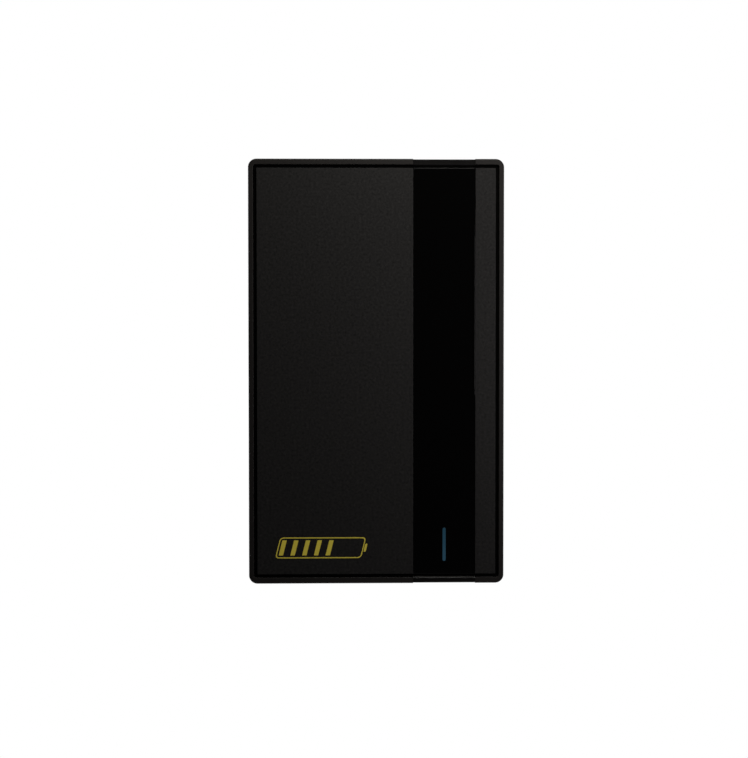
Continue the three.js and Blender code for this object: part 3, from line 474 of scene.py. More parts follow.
def printed_gold():
    """Screen-printed bright ink, thinner in places, with a faint painted glow that gives back a little more
    light than it gets.
    """
    paint = Paint("printed_gold")
    patch = paint.noise(1.1 * MM, 3)
    paint.colour(paint.mixed(patch, (0.90, 0.70, 0.06), (1.0, 0.86, 0.12)))
    paint.roughness(paint.between(paint.noise(3 * MM, 2), 0.36, 0.52))
    # The faint emission is a painted glow: the ink itself is no lamp.
    paint.set(Specular_IOR_Level=0.8, Emission_Color=(1.0, 0.8, 0.08), Emission_Strength=0.05)
    paint.bump(patch, 0.01 * MM)
    return paint


def copper():
    return metal("copper", (0.62, 0.30, 0.17), 0.3, (1, 1, 12))


def aluminium():
    return metal("aluminium", (0.62, 0.63, 0.64), 0.34, (12, 1, 1))


def brass():
    return metal("brass", (0.66, 0.49, 0.18), 0.28, (1, 1, 8))


PAINTS = [make() for make in (
    matte_panel, cover_plastic, painted_groove_shade, gloss_black, band_cap_plastic, light_cyan, powder_coat,
    zinc_steel, rubber_black, cell_can, insulator, carrier_plastic, copper, circuit_board, aluminium,
    fuse_ceramic, brass, device_orange, device_black, device_grey, printed_gold)]
MATERIALS = {paint.name: paint.material for paint in PAINTS}


# --- mesh tools ---

SMOOTH_ANGLE = math.radians(32)
# A round end's radius is a little under half its width, so that no two of its points meet.
NEARLY = 0.999


def smooth(mesh):
    """Smooth faces that keep their hard edges."""
    mesh.polygons.foreach_set("use_smooth", [True] * len(mesh.polygons))
    mesh.set_sharp_from_angle(angle=SMOOTH_ANGLE)


def shade(piece):
    smooth(piece.data)
    weighted = piece.modifiers.new("weighted", "WEIGHTED_NORMAL")
    weighted.keep_sharp = True


def mesh_from(name, bm):
    bmesh.ops.recalc_face_normals(bm, faces=bm.faces)
    mesh = bpy.data.meshes.new(name)
    bm.to_mesh(mesh)
    bm.free()
    return mesh


def add_mesh(name, bm):
    piece = bpy.data.objects.new(name, mesh_from(name, bm))
    bpy.context.scene.collection.objects.link(piece)
    return piece


def settle(piece, node, look=None, stands_for=True, slot=None):
    """Material, shading and body of a piece that belongs to a CAD node and mostly stands for it."""
    slot = slot or SLOT_OF[node]
    mesh = piece.data
    mesh.materials.clear()
    mesh.materials.append(MATERIALS[look or slot])
    # Faces marked for painted shade get the near-black painted shade material.
    shade_marks = mesh.attributes.get("painted_shade")
    if shade_marks and any(mark.value > 0.5 for mark in shade_marks.data):
        mesh.materials.append(MATERIALS["painted_groove_shade"])
        for face, mark in zip(mesh.polygons, shade_marks.data):
            face.material_index = 1 if mark.value > 0.5 else 0
    shade(piece)
    if stands_for:
        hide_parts(node)
    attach(piece, BODY_OF[node])


# Which coordinates a flat point (a, b) at a level gets along each axis.
PLACED = {
    "x": lambda a, b, level: Vector((level, a, b)),
    "y": lambda a, b, level: Vector((a, level, b)),
    "z": lambda a, b, level: Vector((a, b, level)),
}


def ring(axis, a0, a1, b0, b1, radius, level, steps=ARC_STEPS):
    """Points round a rectangle with round corners, in a plane across an axis."""
    corners = (
        (a1 - radius, b0 + radius, -90), (a1 - radius, b1 - radius, 0),
        (a0 + radius, b1 - radius, 90), (a0 + radius, b0 + radius, 180),
    )
    points = []
    for a, b, start in corners:
        for step in range(steps + 1):
            angle = math.radians(start + 90 * step / steps)
            points.append(PLACED[axis](a + radius * math.cos(angle), b + radius * math.sin(angle), level))
    return points


def circle(axis, a, b, radius, level, sides=ROUND_SIDES):
    turns = [2 * math.pi * side / sides for side in range(sides)]
    return [PLACED[axis](a + radius * math.cos(turn), b + radius * math.sin(turn), level) for turn in turns]


def skin(loops, edge_wear_and_sheen=(), painted_shade_bands=(), closed=False):
    """A mesh through loops of equally many points, capped at both ends or closed on itself."""
    bm = bmesh.new()
    wear_and_sheen = bm.faces.layers.float.new("wear_and_sheen")
    # Listed bands, and the first cap when -1 is listed, are marked for painted shade.
    painted_shade = bm.faces.layers.float.new("painted_shade")
    rows = [[bm.verts.new(point) for point in loop] for loop in loops]
    count = len(rows[0])
    pairs = list(zip(rows, rows[1:]))
    if closed:
        pairs.append((rows[-1], rows[0]))
    for index, (low, high) in enumerate(pairs):
        for i in range(count):
            j = (i + 1) % count
            face = bm.faces.new((low[i], low[j], high[j], high[i]))
            face[wear_and_sheen] = 1.0 if index in edge_wear_and_sheen else 0.0
            face[painted_shade] = 1.0 if index in painted_shade_bands else 0.0
    if not closed:
        first = bm.faces.new(rows[0][::-1])
        first[painted_shade] = 1.0 if -1 in painted_shade_bands else 0.0
        bm.faces.new(rows[-1])
    return bm


def boolean(piece, tool, operation="DIFFERENCE"):
    """Cuts or joins a tool mesh and deletes the tool."""
    modifier = piece.modifiers.new("boolean", "BOOLEAN")
    modifier.operation = operation
    modifier.solver = "EXACT"
    modifier.object = tool
    graph = bpy.context.evaluated_depsgraph_get()
    mesh = bpy.data.meshes.new_from_object(piece.evaluated_get(graph))
    piece.modifiers.remove(modifier)
    piece.data = mesh
    bpy.data.objects.remove(tool)


def add_box(bm, x0, x1, y0, y1, z0, z1):
    for vertex in bmesh.ops.create_cube(bm, size=1)["verts"]:
        vertex.co.x = x0 if vertex.co.x < 0 else x1
        vertex.co.y = y0 if vertex.co.y < 0 else y1
        vertex.co.z = z0 if vertex.co.z < 0 else z1


def block(*sides):
    """A plain box to cut with."""
    bm = bmesh.new()
    add_box(bm, *sides)
    return add_mesh("tool", bm)


def quarter(radius):
    """How far an edge's rounding has gone along and in, from 0 to its radius."""
    turns = [math.pi / 2 * step / EDGE_STEPS for step in range(EDGE_STEPS + 1)]
    return [(radius * math.sin(turn), radius * (1 - math.cos(turn))) for turn in turns]


def rounded_plate(name, low, high, corner, edge):
    """A plate with a rounded front edge; low and high are its box."""
    loops = [ring("y", low.x, high.x, low.z, high.z, corner, high.y)]
    for along, inward in quarter(edge):
        y = low.y + edge - along
        r = max(corner - inward, 0.1 * MM)
        loops.append(ring("y", low.x + inward, high.x - inward, low.z + inward, high.z - inward, r, y))
    # The plate's side walls face the shadow gap and get painted shade.
    return add_mesh(name, skin(loops, edge_wear_and_sheen=range(1, EDGE_STEPS + 1), painted_shade_bands=(0,)))


def refined(node, bevel):
    """A CAD node's own shape with its hard edges rounded and marked for wear."""
    hard_from = math.radians(33)
    bm = bmesh.new()
    bm.from_mesh(NODES[node].data)
    bmesh.ops.remove_doubles(bm, verts=bm.verts, dist=0.002 * MM)
    bmesh.ops.dissolve_limit(bm, angle_limit=math.radians(0.6), verts=bm.verts, edges=bm.edges)
    layer = bm.faces.layers.float.new("wear_and_sheen")
    hard = [e for e in bm.edges if len(e.link_faces) == 2 and e.calc_face_angle(0) > hard_from]
    made = bmesh.ops.bevel(
        bm, geom=hard, offset=bevel, offset_type="OFFSET", segments=2, profile=0.5,
        affect="EDGES", clamp_overlap=True)
    for face in made["faces"]:
        face[layer] = 1.0
    settle(add_mesh(node + "_fine", bm), node)


def curve(start, corner, end, steps):
    """Points after start along a soft curve that leans into the corner and stops at end."""
    turns = [step / steps for step in range(1, steps + 1)]
    return [tuple(start * (1 - t) ** 2 + corner * 2 * t * (1 - t) + end * t ** 2) for t in turns]


def softened(profile, edge):
    """An open profile of (radius, height) with rounded corners, and which of its stretches are rounded."""
    steps = 3
    points = [profile[0]]
    edge_wear_and_sheen = []
    for before, at, after in zip(profile, profile[1:], profile[2:]):
        p, q, r = Vector(before), Vector(at), Vector(after)
        reach = min(edge, (q - p).length * 0.45, (r - q).length * 0.45)
        start = q + (p - q).normalized() * reach
        end = q + (r - q).normalized() * reach
        points.append(tuple(start))
        edge_wear_and_sheen += range(len(points) - 1, len(points) - 1 + steps)
        points += curve(start, q, end, steps)
    points.append(profile[-1])
    return points, edge_wear_and_sheen


def turned(name, axis, a, b, profile, edge=0.4 * MM, sides=ROUND_SIDES):
    """A turned piece with softened edges; its profile runs from axis to axis."""
    points, edge_wear_and_sheen = softened(profile, edge)
    tiny = 0.02 * MM
    loops = [circle(axis, a, b, max(radius, tiny), level, sides) for radius, level in points]
    return add_mesh(name, skin(loops, edge_wear_and_sheen=edge_wear_and_sheen))


def prism_loop(points, x):
    return [Vector((x, a, b)) for a, b in points]


def bent(points, radii):
    """A closed outline with each corner rounded by its own radius."""
    steps = 5
    out = []
    count = len(points)
    for i, radius in enumerate(radii):
        p, q, r = Vector(points[i - 1]), Vector(points[i]), Vector(points[(i + 1) % count])
        into = (p - q).normalized()
        away = (r - q).normalized()
        half = into.angle(away) / 2
        reach = radius / math.tan(half)
        start = q + into * reach
        end = q + away * reach
        out += [tuple(start), *curve(start, q, end, steps)]
    return out


# --- front ---

PANEL_CORNER = 1.5 * MM
PANEL_EDGE = 0.6 * MM
GUIDE_EDGE = 0.5 * MM


def cover_ring(inset, radius, y, extra_bottom=0.0, extra_top=0.0):
    return ring(
        "y", COVER_LOW.x + inset, COVER_HIGH.x - inset,
        BOTTOM + inset + extra_bottom, TOP - inset - extra_top, radius, y)


def cover_shell():
    """Rim, shadow gap and skirt in one moulding, with rounded edges."""
    floor_front = PANEL_HIGH.y + GAP
    low = RIM_BOTTOM - RIM_SIDE
    high = RIM_TOP - RIM_SIDE
    inner_edge = 0.9 * MM
    outer_edge = 2.6 * MM
    skirt_edge = 0.5 * MM
    inner_corner = CORNER - SKIRT_WALL
    loops = [cover_ring(RIM_SIDE, RIM_INNER_CORNER, floor_front, low, high)]
    for along, inward in quarter(inner_edge):
        loops.append(cover_ring(
            RIM_SIDE - inward, RIM_INNER_CORNER + inward, FRONT + inner_edge - along, low, high))
    for along, inward in reversed(quarter(outer_edge)):
        loops.append(cover_ring(inward, CORNER - inward, FRONT + outer_edge - along))
    for along, inward in quarter(skirt_edge):
        loops.append(cover_ring(inward, CORNER - inward, COVER_HIGH.y - skirt_edge + along))
    for y in (COVER_HIGH.y, floor_front + FLOOR_THICK):
        loops.append(cover_ring(SKIRT_WALL, inner_corner, y))
    inner_band = range(1, 1 + EDGE_STEPS)
    outer_start = 2 + EDGE_STEPS
    outer_band = range(outer_start, outer_start + EDGE_STEPS)
    # The groove's floor and the rim's inner wall get painted shade.
    return add_mesh("front_cover_fine", skin(loops, edge_wear_and_sheen=(*inner_band, *outer_band), painted_shade_bands=(-1, 0)))


def front_cover():
    """The cover's shell with notches for the band caps and a slot for the light."""
    cover = cover_shell()
    floor_front = PANEL_HIGH.y + GAP
    left = CAP_TOP_LOW.x - GAP
    right = CAP_TOP_HIGH.x + GAP
    far = 5 * MM
    leg = CASING_INSET
    cuts = (
        (FRONT - far, floor_front, CAP_TOP_LOW.z - GAP, TOP + far),
        (FRONT - far, COVER_HIGH.y + far, TOP - leg, TOP + far),
        (FRONT - far, floor_front, BOTTOM - far, CAP_BOTTOM_HIGH.z + GAP),
        (FRONT - far, COVER_HIGH.y + far, BOTTOM - far, BOTTOM + leg),
    )
    for y0, y1, z0, z1 in cuts:
        boolean(cover, block(left, right, y0, y1, z0, z1))
    boolean(cover, slot_tool(GAP))
    settle(cover, "front_cover")


def slot_tool(spread):
    """The light bar's outline as a tool that passes the strip and the cover's floor."""
    half = (GUIDE_HIGH.x - GUIDE_LOW.x) / 2 + spread
    x = (GUIDE_HIGH.x + GUIDE_LOW.x) / 2
    past = 5 * MM
    levels = (FRONT - past, GUIDE_HIGH.y + past)
    z0 = GUIDE_LOW.z - spread
    z1 = GUIDE_HIGH.z + spread
    return add_mesh("tool", skin([ring("y", x - half, x + half, z0, z1, half * NEARLY, y) for y in levels]))


def front_panels():
    """Both panels, the gloss band with its slot, and the light bar in the slot."""
    for node in ("panel_left", "panel_right"):
        low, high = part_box(node)
        settle(rounded_plate(node + "_fine", low, high, PANEL_CORNER, PANEL_EDGE), node)
    strip = rounded_plate("gloss_strip_fine", STRIP_LOW, STRIP_HIGH, PANEL_CORNER, PANEL_EDGE)
    boolean(strip, slot_tool(GAP / 2))
    settle(strip, "gloss_strip")
    half = (GUIDE_HIGH.x - GUIDE_LOW.x) / 2
    guide = rounded_plate("light_guide_fine", GUIDE_LOW, GUIDE_HIGH, half * NEARLY, GUIDE_EDGE)
    settle(guide, "light_guide")


def band_cap(node, side):
    """The trim over one edge of the cover: an angle with a soft front and a chamfer towards the gap."""
    low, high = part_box(node)
    outer = high.z if side > 0 else low.z
    rim = low.z if side > 0 else high.z
    chamfer = 3.2 * MM
    wall = 1.5 * MM
    nose = 0.7 * MM
    points = [
        (low.y + nose, outer), (high.y, outer), (high.y, outer - side * wall),
        (PANEL_HIGH.y, outer - side * wall), (PANEL_HIGH.y, rim), (low.y + chamfer, rim),
        (low.y, rim + side * chamfer), (low.y, outer - side * nose),
    ]
    small, middling, soft = 0.4 * MM, 0.5 * MM, 0.8 * MM
    outline = bent(points, [middling, small, small, middling, small, soft, soft, middling])
    ends = 0.25 * MM
    loops = [prism_loop(outline, x) for x in (low.x, low.x + ends, high.x - ends, high.x)]
    settle(add_mesh(node + "_fine", skin(loops, edge_wear_and_sheen=(0, 2))), node, look="band_cap")


# The printed mark: a plain battery outline with slanted bars. Its place is counted from the cover's corner.
MARK_LEFT = 52 * MM
MARK_WIDE = 178 * MM
MARK_LOW = 51 * MM
MARK_HIGH = 42 * MM
MARK_LINE = 2.1 * MM
MARK_CORNER = 7 * MM
MARK_SLANT = math.tan(math.radians(14))
MARK_CELLS = 7
MARK_FILLED = 5
MARK_BAR = 0.38
MARK_NUB = 6 * MM
MARK_NUB_HALF_HIGH = 8 * MM
MARK_SPACE = 3.6 * MM
INK = 0.12 * MM
INK_CLEAR = 0.01 * MM


def slanted(points, base):
    return [Vector((p.x + (p.z - base) * MARK_SLANT, p.y, p.z)) for p in points]


def ink_frame(x0, x1, z0, z1, base):
    """A flat printed ring with round corners, leaning to the right."""
    on = PANEL_LOW.y - INK_CLEAR
    off = on - INK
    inner = MARK_CORNER - MARK_LINE
    outside = [ring("y", x0, x1, z0, z1, MARK_CORNER, y, 8) for y in (on, off)]
    x0, x1, z0, z1 = x0 + MARK_LINE, x1 - MARK_LINE, z0 + MARK_LINE, z1 - MARK_LINE
    inside = [ring("y", x0, x1, z0, z1, inner, y, 8) for y in (off, on)]
    return [slanted(loop, base) for loop in outside + inside]


def ink_patch(x0, x1, z0, z1, corner, base):
    """A flat printed patch with round corners, leaning to the right."""
    on = PANEL_LOW.y - INK_CLEAR
    return [slanted(ring("y", x0, x1, z0, z1, corner, y, 4), base) for y in (on, on - INK)]


def printed_mark():
    """Outline, nub and bars, each a piece of its own."""
    x0 = COVER_LOW.x + MARK_LEFT
    x1 = x0 + MARK_WIDE - MARK_NUB
    z0 = BOTTOM + MARK_LOW
    z1 = z0 + MARK_HIGH
    middle = (z0 + z1) / 2
    bar_corner = 1.2 * MM
    nub_corner = 1.5 * MM
    nub_low = middle - MARK_NUB_HALF_HIGH
    nub_high = middle + MARK_NUB_HALF_HIGH
    nub = ink_patch(x1 + nub_corner, x1 + MARK_NUB, nub_low, nub_high, nub_corner, z0)
    parts = [
        ("mark_outline", skin(ink_frame(x0, x1, z0, z1, z0), closed=True)),
        ("mark_nub", skin(nub)),
    ]
    inset = MARK_LINE + MARK_SPACE
    pitch = (x1 - x0 - 2 * inset + MARK_SPACE) / MARK_CELLS
    for bar in range(MARK_FILLED):
        left = x0 + inset + bar * pitch
        patch = ink_patch(left, left + MARK_BAR * pitch, z0 + inset, z1 - inset, bar_corner, z0)
        parts.append(("mark_bar_%d" % (bar + 1), skin(patch)))
    for name, bm in parts:
        piece = add_mesh(name, bm)
        piece.data.materials.append(MATERIALS["printed_gold"])
        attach(piece, BODY_OF["panel_left"])


# --- casing ---

# Four ribs are pressed out of the back: two stand upright and two lie level between them.
RIB_HIGH = 1.4 * MM
RIB_SLOPE = 3.4 * MM
UPRIGHT_RIB_X = 0.125
UPRIGHT_RIB_HALF_WIDE = 17 * MM
UPRIGHT_RIB_BOTTOM = BOTTOM + 0.11
UPRIGHT_RIB_TOP = -0.115
LEVEL_RIB_Z = (BOTTOM + 0.165, BOTTOM + 0.33)
LEVEL_RIB_HALF_LONG = 0.088
LEVEL_RIB_HALF_WIDE = 12 * MM


def casing_ring(inset, y):
    """A loop round the tray at depth y, set in from its outline."""
    tightest = 2 * MM
    radius = max(CORNER - CASING_INSET - inset, tightest)
    return ring(
        "y", CASING_LOW.x + inset, CASING_HIGH.x - inset,
        CASING_LOW.z + inset, CASING_HIGH.z - inset, radius, y)


def casing_tray():
    """Folded tray with rounded bends and a flange round its open front."""
    bend = 2.6 * MM
    edge = 0.9 * MM
    back = CASING_HIGH.y
    flange = CASING_LOW.y
    loops = []
    for along, inward in reversed(quarter(bend)):
        loops.append(casing_ring(inward, back - bend + along))
    for along, inward in quarter(edge):
        loops.append(casing_ring(inward, flange + edge - along))
    loops.append(casing_ring(CASING_FLANGE, flange))
    loops.append(casing_ring(CASING_FLANGE, flange + SHEET))
    loops.append(casing_ring(SHEET, flange + SHEET))
    loops.append(casing_ring(SHEET, back - SHEET))
    edge_wear_and_sheen = (*range(0, EDGE_STEPS), *range(EDGE_STEPS + 1, 2 * EDGE_STEPS + 1))
    return add_mesh("rear_casing_fine", skin(loops, edge_wear_and_sheen=edge_wear_and_sheen))


def rear_casing():
    """The tray with the openings for the bay and the grips, and the ribs on its back."""
    casing = casing_tray()
    back = CASING_HIGH.y
    clear = 2 * MM
    lip = 10 * MM
    flange_deep = 8 * MM
    boolean(casing, block(
        BAY_LOW.x + lip - clear, BAY_HIGH.x - lip + clear, BAY_LOW.y + flange_deep - clear,
        BAY_HIGH.y - flange_deep + clear, BOTTOM - lip, BOTTOM + lip))
    for node in ("side_grip_left", "side_grip_right"):
        low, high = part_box(node)
        rim = GRIP_FLANGE - 0.5 * MM
        out = 10 * MM
        into = 5 * MM
        levels = (low.x - out, low.x + into) if low.x < 0 else (high.x - into, high.x + out)
        boolean(casing, add_mesh("tool", skin([
            ring("x", low.y + rim, high.y - rim, low.z + rim, high.z - rim, GRIP_CORNER, x)
            for x in levels])))
    half = UPRIGHT_RIB_HALF_WIDE
    for x in (-UPRIGHT_RIB_X, UPRIGHT_RIB_X):
        boolean(casing, rib(x - half, x + half, UPRIGHT_RIB_BOTTOM, UPRIGHT_RIB_TOP, back), "UNION")
    long, half = LEVEL_RIB_HALF_LONG, LEVEL_RIB_HALF_WIDE
    for z in LEVEL_RIB_Z:
        boolean(casing, rib(-long, long, z - half, z + half, back), "UNION")
    settle(casing, "rear_casing")


def rib(x0, x1, z0, z1, back):
    """A long rib with sloping sides, pressed out of the back."""
    shape = (
        (0.0, back - 1 * MM), (0.0, back),
        (RIB_SLOPE * 0.7, back + RIB_HIGH * 0.85), (RIB_SLOPE, back + RIB_HIGH),
    )
    loops = []
    for inset, y in shape:
        half = min(x1 - x0, z1 - z0) / 2 - inset
        loops.append(ring("y", x0 + inset, x1 - inset, z0 + inset, z1 - inset, half * NEARLY, y, 8))
    return add_mesh("tool", skin(loops))


def grip_ring(low, high, inset, radius, x):
    return ring("x", low.y + inset, high.y - inset, low.z + inset, high.z - inset, radius, x)


def side_grip(node, side):
    """Moulded cup with a flange round its mouth and a soft lip for the fingers."""
    low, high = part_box(node)
    bottom, face = (low.x, high.x) if side > 0 else (high.x, low.x)
    flange_thick = 1.5 * MM
    flange_corner = 11.5 * MM
    flange_back = face - side * flange_thick
    edge = 0.8 * MM
    lip = 1.6 * MM
    inner = GRIP_FLANGE + GRIP_WALL
    fillet = 4 * MM
    loops = [grip_ring(low, high, GRIP_FLANGE, GRIP_CORNER, x) for x in (bottom, flange_back)]
    loops.append(grip_ring(low, high, 0, flange_corner, flange_back))
    for along, inward in quarter(edge):
        loops.append(grip_ring(low, high, inward, flange_corner - inward, face - side * (edge - along)))
    for along, inward in reversed(quarter(lip)):
        loops.append(grip_ring(
            low, high, inner - inward, GRIP_CORNER - GRIP_WALL + inward, face - side * (lip - along)))
    floor = bottom + side * GRIP_WALL
    for along, inward in quarter(fillet):
        radius = max(GRIP_CORNER - GRIP_WALL - inward, 1 * MM)
        loops.append(grip_ring(low, high, inner + inward, radius, floor + side * (fillet - along)))
    edge_wear_and_sheen = (*range(3, 3 + EDGE_STEPS), *range(4 + EDGE_STEPS, 4 + 2 * EDGE_STEPS))
    settle(add_mesh(node + "_fine", skin(loops, edge_wear_and_sheen=edge_wear_and_sheen)), node)


# --- wall side ---

# The bracket's and the rail's sheet steel, and the heights of the bracket's shelf and the rail's level part.
STEEL = 3 * MM
SHELF_Z = 0.060
RAIL_WEB_Z = 0.0823

# The bracket's windows, one at each side of the middle, and its bolt holes.
WINDOW_NEAR = 0.032
WINDOW_FAR = 0.108
WINDOW_BOTTOM = -0.048
WINDOW_TOP = 0.030
WINDOW_CORNER = 8 * MM
BOLT_HOLE = 5 * MM


def wall_bracket():
    """Folded steel with rounded bends, two windows and four bolt holes."""
    low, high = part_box("wall_bracket")
    lip_back = low.y + STEEL
    under = SHELF_Z - STEEL
    points = [
        (0, low.z), (0, SHELF_Z), (lip_back, SHELF_Z), (lip_back, high.z),
        (low.y, high.z), (low.y, under), (-STEEL, under), (-STEEL, low.z),
    ]
    radii = [0.4 * MM, 1.4 * MM, 1.0 * MM, 0.4 * MM, 0.4 * MM, 2.8 * MM, 1.0 * MM, 0.4 * MM]
    outline = bent(points, radii)
    bracket = add_mesh("wall_bracket_fine", skin([prism_loop(outline, x) for x in (low.x, high.x)]))
    levels = (-2 * STEEL, STEEL)
    for side in (-1, 1):
        x0, x1 = sorted((side * WINDOW_NEAR, side * WINDOW_FAR))
        window = skin([ring("y", x0, x1, WINDOW_BOTTOM, WINDOW_TOP, WINDOW_CORNER, y) for y in levels])
        boolean(bracket, add_mesh("tool", window))
        for bolt in ("wall_bolt_1", "wall_bolt_2"):
            bolt_low, bolt_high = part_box(bolt)
            x = side * abs(bolt_low.x + bolt_high.x) / 2
            z = (bolt_low.z + bolt_high.z) / 2
            hole = skin([circle("y", x, z, BOLT_HOLE, y) for y in levels])
            boolean(bracket, add_mesh("tool", hole))
    settle(bracket, "wall_bracket")


def hanger_rail():
    """Folded rail; its tongue hangs down behind the bracket's lip."""
    face = RAIL_LOW.y
    inside = face + STEEL
    tongue = RAIL_HIGH.y
    tongue_front = tongue - STEEL
    web = RAIL_WEB_Z
    points = [
        (face, web), (face, RAIL_HIGH.z), (inside, RAIL_HIGH.z), (inside, web + STEEL),
        (tongue, web + STEEL), (tongue, RAIL_LOW.z), (tongue_front, RAIL_LOW.z), (tongue_front, web),
    ]
    radii = [2.0 * MM, 0.4 * MM, 0.4 * MM, 0.8 * MM, 2.0 * MM, 0.4 * MM, 0.4 * MM, 0.6 * MM]
    outline = bent(points, radii)
    loops = [prism_loop(outline, x) for x in (RAIL_LOW.x, RAIL_HIGH.x)]
    settle(add_mesh("hanger_rail_fine", skin(loops)), "hanger_rail")


def join_pieces(name, parts):
    """One mesh out of several closed ones that overlap."""
    whole = parts[0]
    whole.name = name
    for part in parts[1:]:
        boolean(whole, part, "UNION")
    return whole


def hex_nut(axis, a, b, radius, seat, top):
    """A hexagon from its seat to its top, with the top's corners turned off."""
    sign = 1 if top > seat else -1
    soft = 0.5 * MM
    levels = ((radius, seat), (radius, top - sign * soft), (radius - 1.4 * soft, top))
    return add_mesh("tool", skin([circle(axis, a, b, r, level, 6) for r, level in levels], edge_wear_and_sheen=(1,)))


def wall_bolts():
    """Hexagon head, washer and shank."""
    head_high = 5.3 * MM
    head_radius = 7.5 * MM
    head_sunk = 0.2 * MM
    washer_thick = 1.6 * MM
    washer = 9 * MM
    shank = 4 * MM
    for number in range(1, 5):
        node = "wall_bolt_%d" % number
        low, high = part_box(node)
        x = (low.x + high.x) / 2
        z = (low.z + high.z) / 2
        front = low.y + head_high
        back = front + washer_thick
        rod = turned("tool", "y", x, z, [(0, 0), (shank, 0), (shank, front), (0, front)])
        disc = turned("tool", "y", x, z, [(0, back), (washer, back), (washer, front), (0, front)], 0.3 * MM)
        head = hex_nut("y", x, z, head_radius, front + head_sunk, low.y)
        settle(join_pieces(node + "_fine", [disc, rod, head]), node)


def rear_bumpers():
    """Stepped rubber stops with a shallow dimple in the face that meets the wall."""
    base = 19 * MM
    nose = 15 * MM
    dimple = 9 * MM
    dimple_deep = 1.2 * MM
    step = -4 * MM
    for node in ("rear_bumper_left", "rear_bumper_right"):
        low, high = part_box(node)
        x = (low.x + high.x) / 2
        z = (low.z + high.z) / 2
        profile = [
            (0, low.y), (base, low.y), (base, step), (nose, step), (nose, 0),
            (dimple, 0), (dimple, -dimple_deep), (0, -dimple_deep),
        ]
        settle(turned(node + "_fine", "y", x, z, profile, 1.0 * MM), node)


# --- connection bay ---

# The bay's ceiling, which carries the fittings, and the line that they stand on.
CEILING = BOTTOM + 58 * MM
BAY_Y = -0.080


def middle_x(node):
    low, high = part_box(node)
    return (low.x + high.x) / 2


def power_terminals():
    """Round receptacles with a ring groove, each with its own bright contact pin inside."""
    face = CEILING - GAP
    mouth = BOTTOM + 28 * MM
    seat = BOTTOM + 46 * MM
    flange_low = face - 3 * MM
    bore = 9 * MM
    body = 13 * MM
    groove = 12.2 * MM
    flange = 17 * MM
    neck = 7.5 * MM
    for node in ("positive_terminal", "negative_terminal"):
        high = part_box(node)[1]
        x = middle_x(node)
        profile = [
            (0, seat), (bore, seat), (bore, mouth),
            (body, mouth), (body, mouth + 7 * MM), (groove, mouth + 7.8 * MM),
            (groove, mouth + 10 * MM), (body, mouth + 10.8 * MM), (body, flange_low),
            (flange, flange_low), (flange, face), (neck, face), (neck, high.z), (0, high.z),
        ]
        settle(turned(node + "_fine", "z", x, BAY_Y, profile, 0.5 * MM), node)
        tip = seat - 6 * MM
        root = seat + 1 * MM
        pin = 4 * MM
        shape = [(0, tip), (pin, tip), (pin, root), (0, root)]
        settle(turned(node + "_pin", "z", x, BAY_Y, shape, 0.8 * MM), node, "brass", False, "brass")


def power_key():
    """Housing and button of the power key, and the reset pin beside it."""
    face = CEILING - GAP
    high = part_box("button_housing")[1]
    x = middle_x("button_housing")
    deep = BOTTOM + 66 * MM
    under = face - 3 * MM
    bore = 5.7 * MM
    bezel = 12 * MM
    neck = 8.2 * MM
    housing = [
        (0, deep), (bore, deep), (bore, face - 2.4 * MM), (6.3 * MM, under), (11 * MM, under),
        (bezel, face - 2 * MM), (bezel, face), (neck, face), (neck, high.z), (0, high.z),
    ]
    settle(turned("button_housing_fine", "z", x, BAY_Y, housing, 0.3 * MM), "button_housing")
    button_low, button_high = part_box("power_button")
    tip = button_low.z
    cap = 5.4 * MM
    button = [
        (0, tip + 0.6 * MM), (3.2 * MM, tip + 0.25 * MM), (4.4 * MM, tip), (cap, tip + 0.9 * MM),
        (cap, button_high.z), (0, button_high.z),
    ]
    settle(turned("power_button_fine", "z", x, BAY_Y, button, 0.3 * MM), "power_button")
    pin_low, pin_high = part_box("reset_button")
    collar_low = CEILING + SHEET + GAP
    collar_high = collar_low + 1.2 * MM
    stem = 2 * MM
    collar = 3.5 * MM
    pin = [
        (0, pin_low.z), (stem, pin_low.z), (stem, collar_low), (collar, collar_low),
        (collar, collar_high), (stem, collar_high), (stem, pin_high.z), (0, pin_high.z),
    ]
    x = middle_x("reset_button")
    settle(turned("reset_button_fine", "z", x, BAY_Y, pin, 0.3 * MM), "reset_button")


def ground_stud():
    """Threaded stud with washer and nut below the ceiling and its head above."""
    low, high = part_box("ground_stud")
    x = middle_x("ground_stud")
    washer_top = CEILING - GAP
    nut_top = washer_top - 1.5 * MM
    nut_low = nut_top - 5 * MM
    above = CEILING + SHEET + GAP
    crest = 3 * MM
    root = 2.62 * MM
    pitch = 0.8 * MM
    level = low.z + 0.6 * MM
    thread = [(0, low.z), (2.4 * MM, low.z), (crest, level)]
    while level + pitch < nut_low + 0.5 * MM:
        thread += [(crest, level + 0.1 * MM), (root, level + pitch / 2), (crest, level + pitch)]
        level += pitch
    thread += [(crest, above + 1 * MM), (0, above + 1 * MM)]
    post = turned("tool", "z", x, BAY_Y, thread, 0.05 * MM, 32)
    disc = 7 * MM
    ring_shape = [(0, nut_top), (disc, nut_top), (disc, washer_top), (0, washer_top)]
    washer = turned("tool", "z", x, BAY_Y, ring_shape, 0.3 * MM)
    across = 5.8 * MM
    nut = hex_nut("z", x, BAY_Y, across, nut_top + 0.2 * MM, nut_low)
    head = hex_nut("z", x, BAY_Y, across, above, high.z)
    settle(join_pieces("ground_stud_fine", [post, washer, nut, head]), "ground_stud")


def pressure_vent():
    """Breather cap with a ring groove."""
    low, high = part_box("pressure_vent")
    x = middle_x("pressure_vent")
    face = CEILING - GAP
    dish = low.z + 0.8 * MM
    cap = 9 * MM
    neck = 6.2 * MM
    profile = [
        (0, dish), (4.6 * MM, dish), (5.2 * MM, low.z), (7.5 * MM, low.z),
        (cap, low.z + 1.5 * MM), (cap, face), (neck, face), (neck, high.z), (0, high.z),
    ]
    settle(turned("pressure_vent_fine", "z", x, BAY_Y, profile, 0.4 * MM), "pressure_vent")


